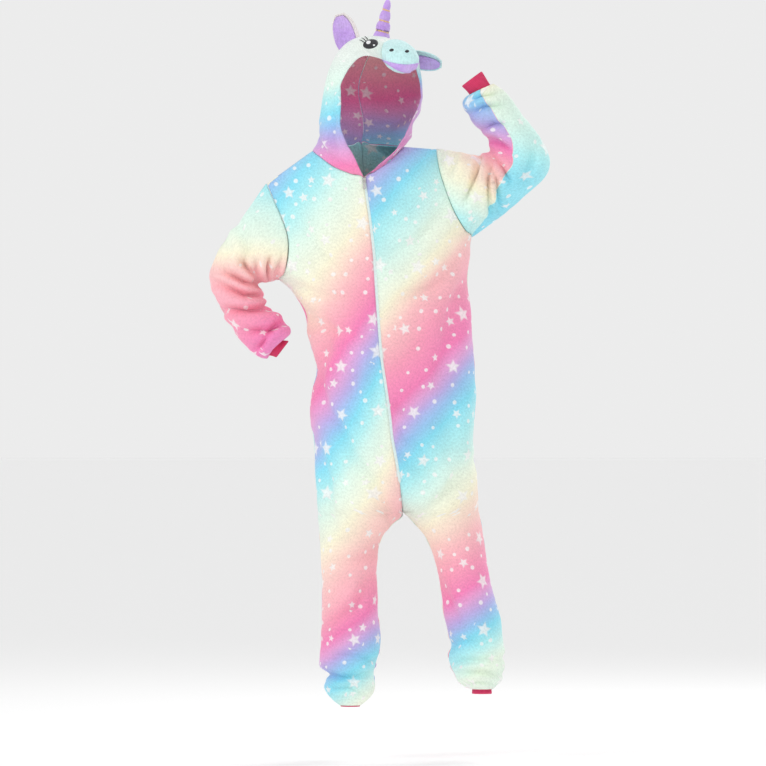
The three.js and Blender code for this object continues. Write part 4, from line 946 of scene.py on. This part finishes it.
def satin(name, dark, pale, roughness):
    material = bpy.data.materials.new(name)
    material.use_nodes = True
    tree = material.node_tree
    place = wire(tree, "ShaderNodeTexCoord").outputs["Object"]
    pile = wire(tree, "ShaderNodeTexNoise", {"Vector": place, "Scale": 700.0, "Detail": 3.0})
    mixed = wire(tree, "ShaderNodeMix", {0: pile.outputs[0], 6: (*dark, 1), 7: (*pale, 1)}, data_type="RGBA")
    shader = tree.nodes["Principled BSDF"]
    tree.links.new(mixed.outputs[2], shader.inputs["Base Color"])
    close = wire(tree, "ShaderNodeBump", {"Strength": 0.4, "Distance": 0.0004, "Height": pile.outputs[0]})
    tree.links.new(close.outputs[0], shader.inputs["Normal"])
    shader.inputs["Roughness"].default_value = roughness
    return material


black_felt = satin("black_felt", (0.008, 0.008, 0.010), (0.030, 0.030, 0.036), 0.55)
white_felt = satin("white_felt", (0.80, 0.80, 0.82), (0.95, 0.95, 0.96), 0.6)


def front_spot(x, z):
    """A point 130 mm in front of x, z (given in millimetres), from which rays are cast back onto the hood."""
    return Vector((x / 1000, -0.13, z / 1000))


for name, x, z, wide, tall in (("right", 74, 239, 0.0105, 0.0068), ("left", 110, 236, 0.0100, 0.0066)):
    nostril = laid_patch(f"nostril_{name}_patch", [muzzle], front_spot(x, z), Vector((0, 1, 0)),
                         oval(wide, tall, 12), 0.0009, black_felt, rings=4)
    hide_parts(f"nostril_{name}")

# The mouth: a fat crescent, its corners up, that wraps the lower front of the muzzle.
lip_points, lip_faces = [], []
LIP_ALONG, LIP_ROUND = 72, 14
bottom, corner_a, corner_b = Vector((0.107, 0, 0.187)), Vector((0.049, 0, 0.219)), Vector((0.137, 0, 0.210))
top_control = Vector((0.096, 0, 0.196))
spine = []
for k in range(LIP_ALONG + 1):
    t = k / LIP_ALONG
    low = (corner_a * (1 - t) ** 2 + (bottom * 2 - (corner_a + corner_b) / 2) * 2 * t * (1 - t)
           + corner_b * t ** 2)
    high = (corner_a * (1 - t) ** 2 + (top_control * 2 - (corner_a + corner_b) / 2) * 2 * t * (1 - t)
            + corner_b * t ** 2)
    high += Vector((0, 0, 0.010)) * math.sin(math.pi * t) ** 0.8
    spine.append((low, high))
for k, (low, high) in enumerate(spine):
    ends = math.sin(math.pi * max(0.02, min(0.98, k / LIP_ALONG))) ** 0.5
    for j in range(LIP_ROUND):
        turn = 2 * math.pi * j / LIP_ROUND
        share = 0.5 - 0.5 * math.cos(turn)
        flat = low.lerp(high, share)
        start = Vector((flat.x, -0.25, flat.z))
        hit, spot, normal, _ = muzzle.ray_cast(start, Vector((0, 1, 0)))
        if not hit:
            spot, normal = Vector(lip_points[-1] if lip_points else (flat.x, -0.1, flat.z)), Vector((0, -1,
                                                                                                     0))
        raised = (0.0042 if turn < math.pi else -0.0012) * abs(math.sin(turn)) ** 0.8 * ends
        lip_points.append(spot + normal * (raised + 0.0002))
for k in range(LIP_ALONG):
    for j in range(LIP_ROUND):
        a, b = k * LIP_ROUND + j, k * LIP_ROUND + (j + 1) % LIP_ROUND
        lip_faces.append((a, b, b + LIP_ROUND, a + LIP_ROUND))
lip_faces.append(tuple(range(LIP_ROUND)))
lip_faces.append(tuple(range(LIP_ALONG * LIP_ROUND, (LIP_ALONG + 1) * LIP_ROUND))[::-1])
mouth = mesh_object("mouth_lip", lip_points, lip_faces, lilac_fleece)
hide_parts("mouth")

# ---------------------------------------------------------------- Eyes
# Black ovals sewn on each side of the hood. The right one has two white glints and embroidered lashes; the
# left one is the oval alone.
hood_shells = [bpy.data.objects["hood_right_cloth"], bpy.data.objects["hood_left_cloth"]]


def tube(name, points, radii, material, sides=8, closed=False):
    """A thread along points, in metres."""
    points = [Vector(p) for p in points]
    found, faces = [], []
    count = len(points)
    guide = Vector((0.3, 0.2, 0.93)).normalized()
    for k, point in enumerate(points):
        ahead_of = (points[(k + 1) % count] if closed or k < count - 1 else point)
        behind = (points[k - 1] if closed or k else point)
        along = (ahead_of - behind).normalized()
        side_a = along.cross(guide).normalized()
        side_b = along.cross(side_a).normalized()
        radius = radii[k] if hasattr(radii, "__len__") else radii
        found += [point + (side_a * math.cos(2 * math.pi * j / sides)
                           + side_b * math.sin(2 * math.pi * j / sides))
                  * radius for j in range(sides)]
    for k in range(count if closed else count - 1):
        for j in range(sides):
            n, a, b = (k + 1) % count, j, (j + 1) % sides
            faces.append((k * sides + a, k * sides + b, n * sides + b, n * sides + a))
    if not closed:
        faces.append(tuple(range(sides)))
        faces.append(tuple(range((count - 1) * sides, count * sides))[::-1])
    return mesh_object(name, found, faces, material)


def on_hood(x, z, look, lift):
    start = Vector((x, -0.3, z)) if abs(look.y) > 0.5 else Vector((x, 0, z))
    best = None
    for shell in hood_shells:
        hit, spot, normal, _ = shell.ray_cast(start, look)
        if hit and (best is None or (spot - start).length < (best[0] - start).length):
            best = (spot, normal)
    return best[0] + best[1] * lift if best else None


straight = Vector((0, 1, 0))
eye = laid_patch("eye_right_patch", hood_shells, front_spot(25, 256), straight, oval(0.036, 0.023, 14),
                 0.0016,
                 black_felt, sink=0.0010)
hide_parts("eye_right")
glint = laid_patch("eye_right_glint", [eye], front_spot(20, 260), straight, oval(0.0105, 0.0085, 20), 0.0006,
                   white_felt, lift=0.0002, rings=3, sink=0.0004)
small_glint = laid_patch("eye_right_glint_small", [eye], front_spot(33, 253), straight,
                         oval(0.005, 0.0042, 0),
                         0.0005, white_felt, lift=0.0002, rings=3, sink=0.0004)
for k, (x0, z0, x1, z1) in enumerate((
        (0.009, 0.2600, -0.0010, 0.2660), (0.013, 0.2640, 0.0040, 0.2715), (0.018, 0.2670, 0.0110, 0.2755))):
    lash = [on_hood(x0 + (x1 - x0) * t, z0 + (z1 - z0) * t + 0.0012 * math.sin(math.pi * t), straight, 0.0008)
            for t in (0, 0.25, 0.5, 0.75, 1)]
    if all(lash):
        thread = tube(f"eye_right_lash_{k + 1}", lash, [0.0011, 0.0010, 0.0009, 0.0007, 0.0004], black_felt)
left_eye_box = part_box("eye_left")
far_side = Vector(head_direction(-0.75, -0.66, 0.0)).normalized()
left_low, left_high = left_eye_box
left_middle = (left_low + left_high) / 2
left_eye = laid_patch("eye_left_patch", hood_shells, left_middle - far_side * 0.05, far_side,
                      oval(0.034, 0.022, -8),
                      0.0016, black_felt, sink=0.0010)
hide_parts("eye_left")

# ---------------------------------------------------------------- Horn
# Lilac fleece, stuffed and wound with gold thread, which pinches it into four rolls.
HORN = table("radius height", [
    (18, 0), (19, 12), (18.5, 24), (15.2, 33), (16.6, 40), (15.4, 50), (11.2, 58), (12.9, 66), (11.2, 77),
    (8.0, 84), (8.9, 92), (6.6, 103), (3.2, 108)])
horn_up = Vector(from_head(-0.04, 0.1, 1.0) - from_head(0.0, 0.0, 0.0)).normalized()
horn_foot = Vector(from_head(-10.0, 22.0, 260.0) / 1000)
horn_side = horn_up.cross(Vector((0, 1, 0))).normalized()
horn_back = horn_up.cross(horn_side).normalized()
HORN_AROUND = 48
profile = smooth(np.stack([HORN["radius"], HORN["height"]], axis=-1), 5)
profile = np.vstack([profile, [[1.4, 109.2]]]) / 1000
horn_points, horn_faces = [], []
for j in range(HORN_AROUND):
    turn = 2 * math.pi * j / HORN_AROUND
    spoke = horn_side * math.cos(turn) + horn_back * math.sin(turn)
    start = horn_foot + spoke * 0.0175 + horn_up * 0.08
    depth = min((spot - start).length for hit, spot, _, _ in (
        shell.ray_cast(start, -horn_up) for shell in hood_shells) if hit)
    base = 0.08 - depth - 0.0006
    for radius, height in profile:
        share = height / profile[-1, 1]
        level = base + (profile[-1, 1] - base) * share if height < 0.03 else max(height, base)
        pucker = 1 + 0.03 * math.sin(9 * turn + 40 * height) + 0.02 * math.sin(5 * turn - 70 * height)
        radius_here = float(np.interp(max(level, 0), profile[:, 1], profile[:, 0]))
        horn_points.append(horn_foot + spoke * radius_here * pucker + horn_up * level)
rows_up = len(profile)
for j in range(HORN_AROUND):
    n = (j + 1) % HORN_AROUND
    for k in range(rows_up - 1):
        horn_faces.append((j * rows_up + k, n * rows_up + k, n * rows_up + k + 1, j * rows_up + k + 1))
horn_faces.append(tuple(j * rows_up for j in range(HORN_AROUND))[::-1])
horn_faces.append(tuple(j * rows_up + rows_up - 1 for j in range(HORN_AROUND)))
horn = mesh_object("horn_roll", horn_points, horn_faces, lilac_fleece)
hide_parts("horn")

gold_thread = satin("gold_thread", (0.62, 0.36, 0.16), (0.90, 0.62, 0.36), 0.42)
for number, (height, radius) in enumerate(((33, 15.4), (58, 11.6), (84, 8.3)), 1):
    turns, wound = 2.0, []
    for k in range(97):
        turn = 2 * math.pi * turns * k / 96
        rise = height + 1.7 * (k / 96 - 0.5) * turns + 3.2 * math.cos(turn) * 0.5
        wound.append(horn_foot + (horn_side * math.cos(turn) + horn_back * math.sin(turn)) * radius / 1000
                     + horn_up * rise / 1000)
    band = tube(f"horn_thread_{number}", wound, 0.0010, gold_thread)
    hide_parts(f"horn_band_{number}")

# ---------------------------------------------------------------- Ears
# Folded leaves of pale fleece with a lilac lining, pinched at the foot and sewn to the hood.
EARS = {
    "right": (Vector((-0.022, 0.002, 0.240)), Vector((-0.048, -0.006, 0.330)), Vector((-0.45, -0.88, 0)),
              0.031),
    "left": (Vector((0.112, 0.010, 0.226)), Vector((0.190, -0.006, 0.212)), Vector((-0.1, -0.75, -0.65)),
             0.027),
}
ear_outline = smooth(np.array([[0.62], [0.85], [0.98], [1], [0.97], [0.88], [0.70], [0.34]]), 5)[:, 0]
LINING_REACH = {"right": (-0.97, 0.62), "left": (-0.25, 0.88)}
EAR_CUT = {"right": (0.072, 0.098, 0.0058), "left": (0.063, 0.084, 0.0044)}
LINING_CUT = {"right": (0.054, 0.092, 0.0041), "left": (0.033, 0.079, 0.0022)}
ear_fleece = fleece("ear_fleece", colour=(0.86, 0.80, 0.78), sheen=0.3)
EAR_ACROSS = 28
for side, (base, tip, look, width) in EARS.items():
    along = tip - base
    look = (look - along * (look.dot(along) / along.length_squared)).normalized()
    across_ear = along.normalized().cross(look)
    back_face, lining = [], []
    last = len(ear_outline) - 1
    for i, part in enumerate(ear_outline):
        row_points, row_lining = [], []
        for j in range(EAR_ACROSS + 1):
            s = j / EAR_ACROSS * 2 - 1
            cup = (1 - s * s) * width * part * 0.5
            crease = 0.0022 * math.exp(-(s / 0.16) ** 2) * (1 - i / last)
            at = base + along * (i / last) + across_ear * (s * width * part) - look * (cup + crease)
            row_points.append(tuple(at * 1000))
            low, high = LINING_REACH[side]
            t = low + (high - low) * (s + 1) / 2
            cup = (1 - t * t) * width * part * 0.5
            lift = 0.0024 + 0.0012 * math.cos(math.pi * s / 2) - crease
            at = (base + along * (0.94 * i / last + 0.01) + across_ear * (t * width * part)
                  - look * (cup - lift))
            row_lining.append(tuple(at * 1000))
        back_face.append(row_points)
        lining.append(row_lining)
    back_face, lining = np.array(back_face), np.array(lining)
    leaf = cloth_object(f"ear_{side}_leaf", back_face, flat_coordinates(back_face), {},
                        [ear_fleece if side == "right" else aqua_fleece], flip=False, thickness=0.003)
    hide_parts(f"ear_{side}")
    width, length, area = EAR_CUT[side]
    inside = cloth_object(f"ear_{side}_inside", lining, flat_coordinates(lining), {}, [lilac_fleece],
                          flip=False, thickness=0.0018)
    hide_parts(f"ear_lining_{side}")
    width, length, area = LINING_CUT[side]

# ---------------------------------------------------------------- Stage
# A plain pale floor well below the ankle cuffs, with a wide key lamp to the wearer's right, a
# soft fill and a lamp behind. The camera looks level from the front with a long lens.
paper = bpy.data.materials.new("paper")
paper.use_nodes = True
tree = paper.node_tree
shader = tree.nodes["Principled BSDF"]
shader.inputs["Roughness"].default_value = 0.8
fibres = wire(tree, "ShaderNodeTexNoise", {"Vector": wire(tree, "ShaderNodeTexCoord").outputs["Object"],
                                           "Scale": 60.0})
tone = wire(tree, "ShaderNodeMix", {0: fibres.outputs[0], 6: (0.97, 0.97, 0.97, 1), 7: (0.99, 0.99, 0.99, 1)},
            data_type="RGBA")
tree.links.new(tone.outputs[2], shader.inputs["Base Color"])
bpy.ops.object.select_all(action="DESELECT")
bpy.ops.mesh.primitive_circle_add(vertices=64, radius=60, fill_type="NGON", location=(0, 0, -1.42))
floor = bpy.context.object
floor.name = "floor"
bpy.ops.object.transform_apply(location=True, rotation=True, scale=True)
floor.data.materials.append(paper)

world = bpy.data.worlds.new("studio")
world.use_nodes = True
world.node_tree.nodes["Background"].inputs[0].default_value = (1, 1, 1, 1)
world.node_tree.nodes["Background"].inputs[1].default_value = 0.84
bpy.context.scene.world = world
bpy.context.scene.view_settings.view_transform = "Standard"
for name, place, size, power in (("key", (-3.0, -2.4, 1.6), 1.2, 34), ("fill", (2.2, -3.4, 0.4), 2.6, 10),
                                 ("rim", (1.6, 2.6, 2.0), 1.6, 40)):
    light = bpy.data.lights.new(name, "AREA")
    light.energy, light.size = power, size
    lamp = bpy.data.objects.new(name, light)
    lamp.location = place
    lamp.rotation_euler = (Vector((0.05, 0, -0.5)) - Vector(place)).to_track_quat("-Z", "Y").to_euler()
    bpy.context.collection.objects.link(lamp)
lens = bpy.data.cameras.new("camera")
lens.lens, lens.sensor_width = 300, 36
lens.clip_end = 100
camera = bpy.data.objects.new("camera", lens)
camera.location = (0.054, -15.0, -0.536)
camera.rotation_euler = (math.radians(90), 0, 0)
bpy.context.collection.objects.link(camera)
bpy.context.scene.camera = camera
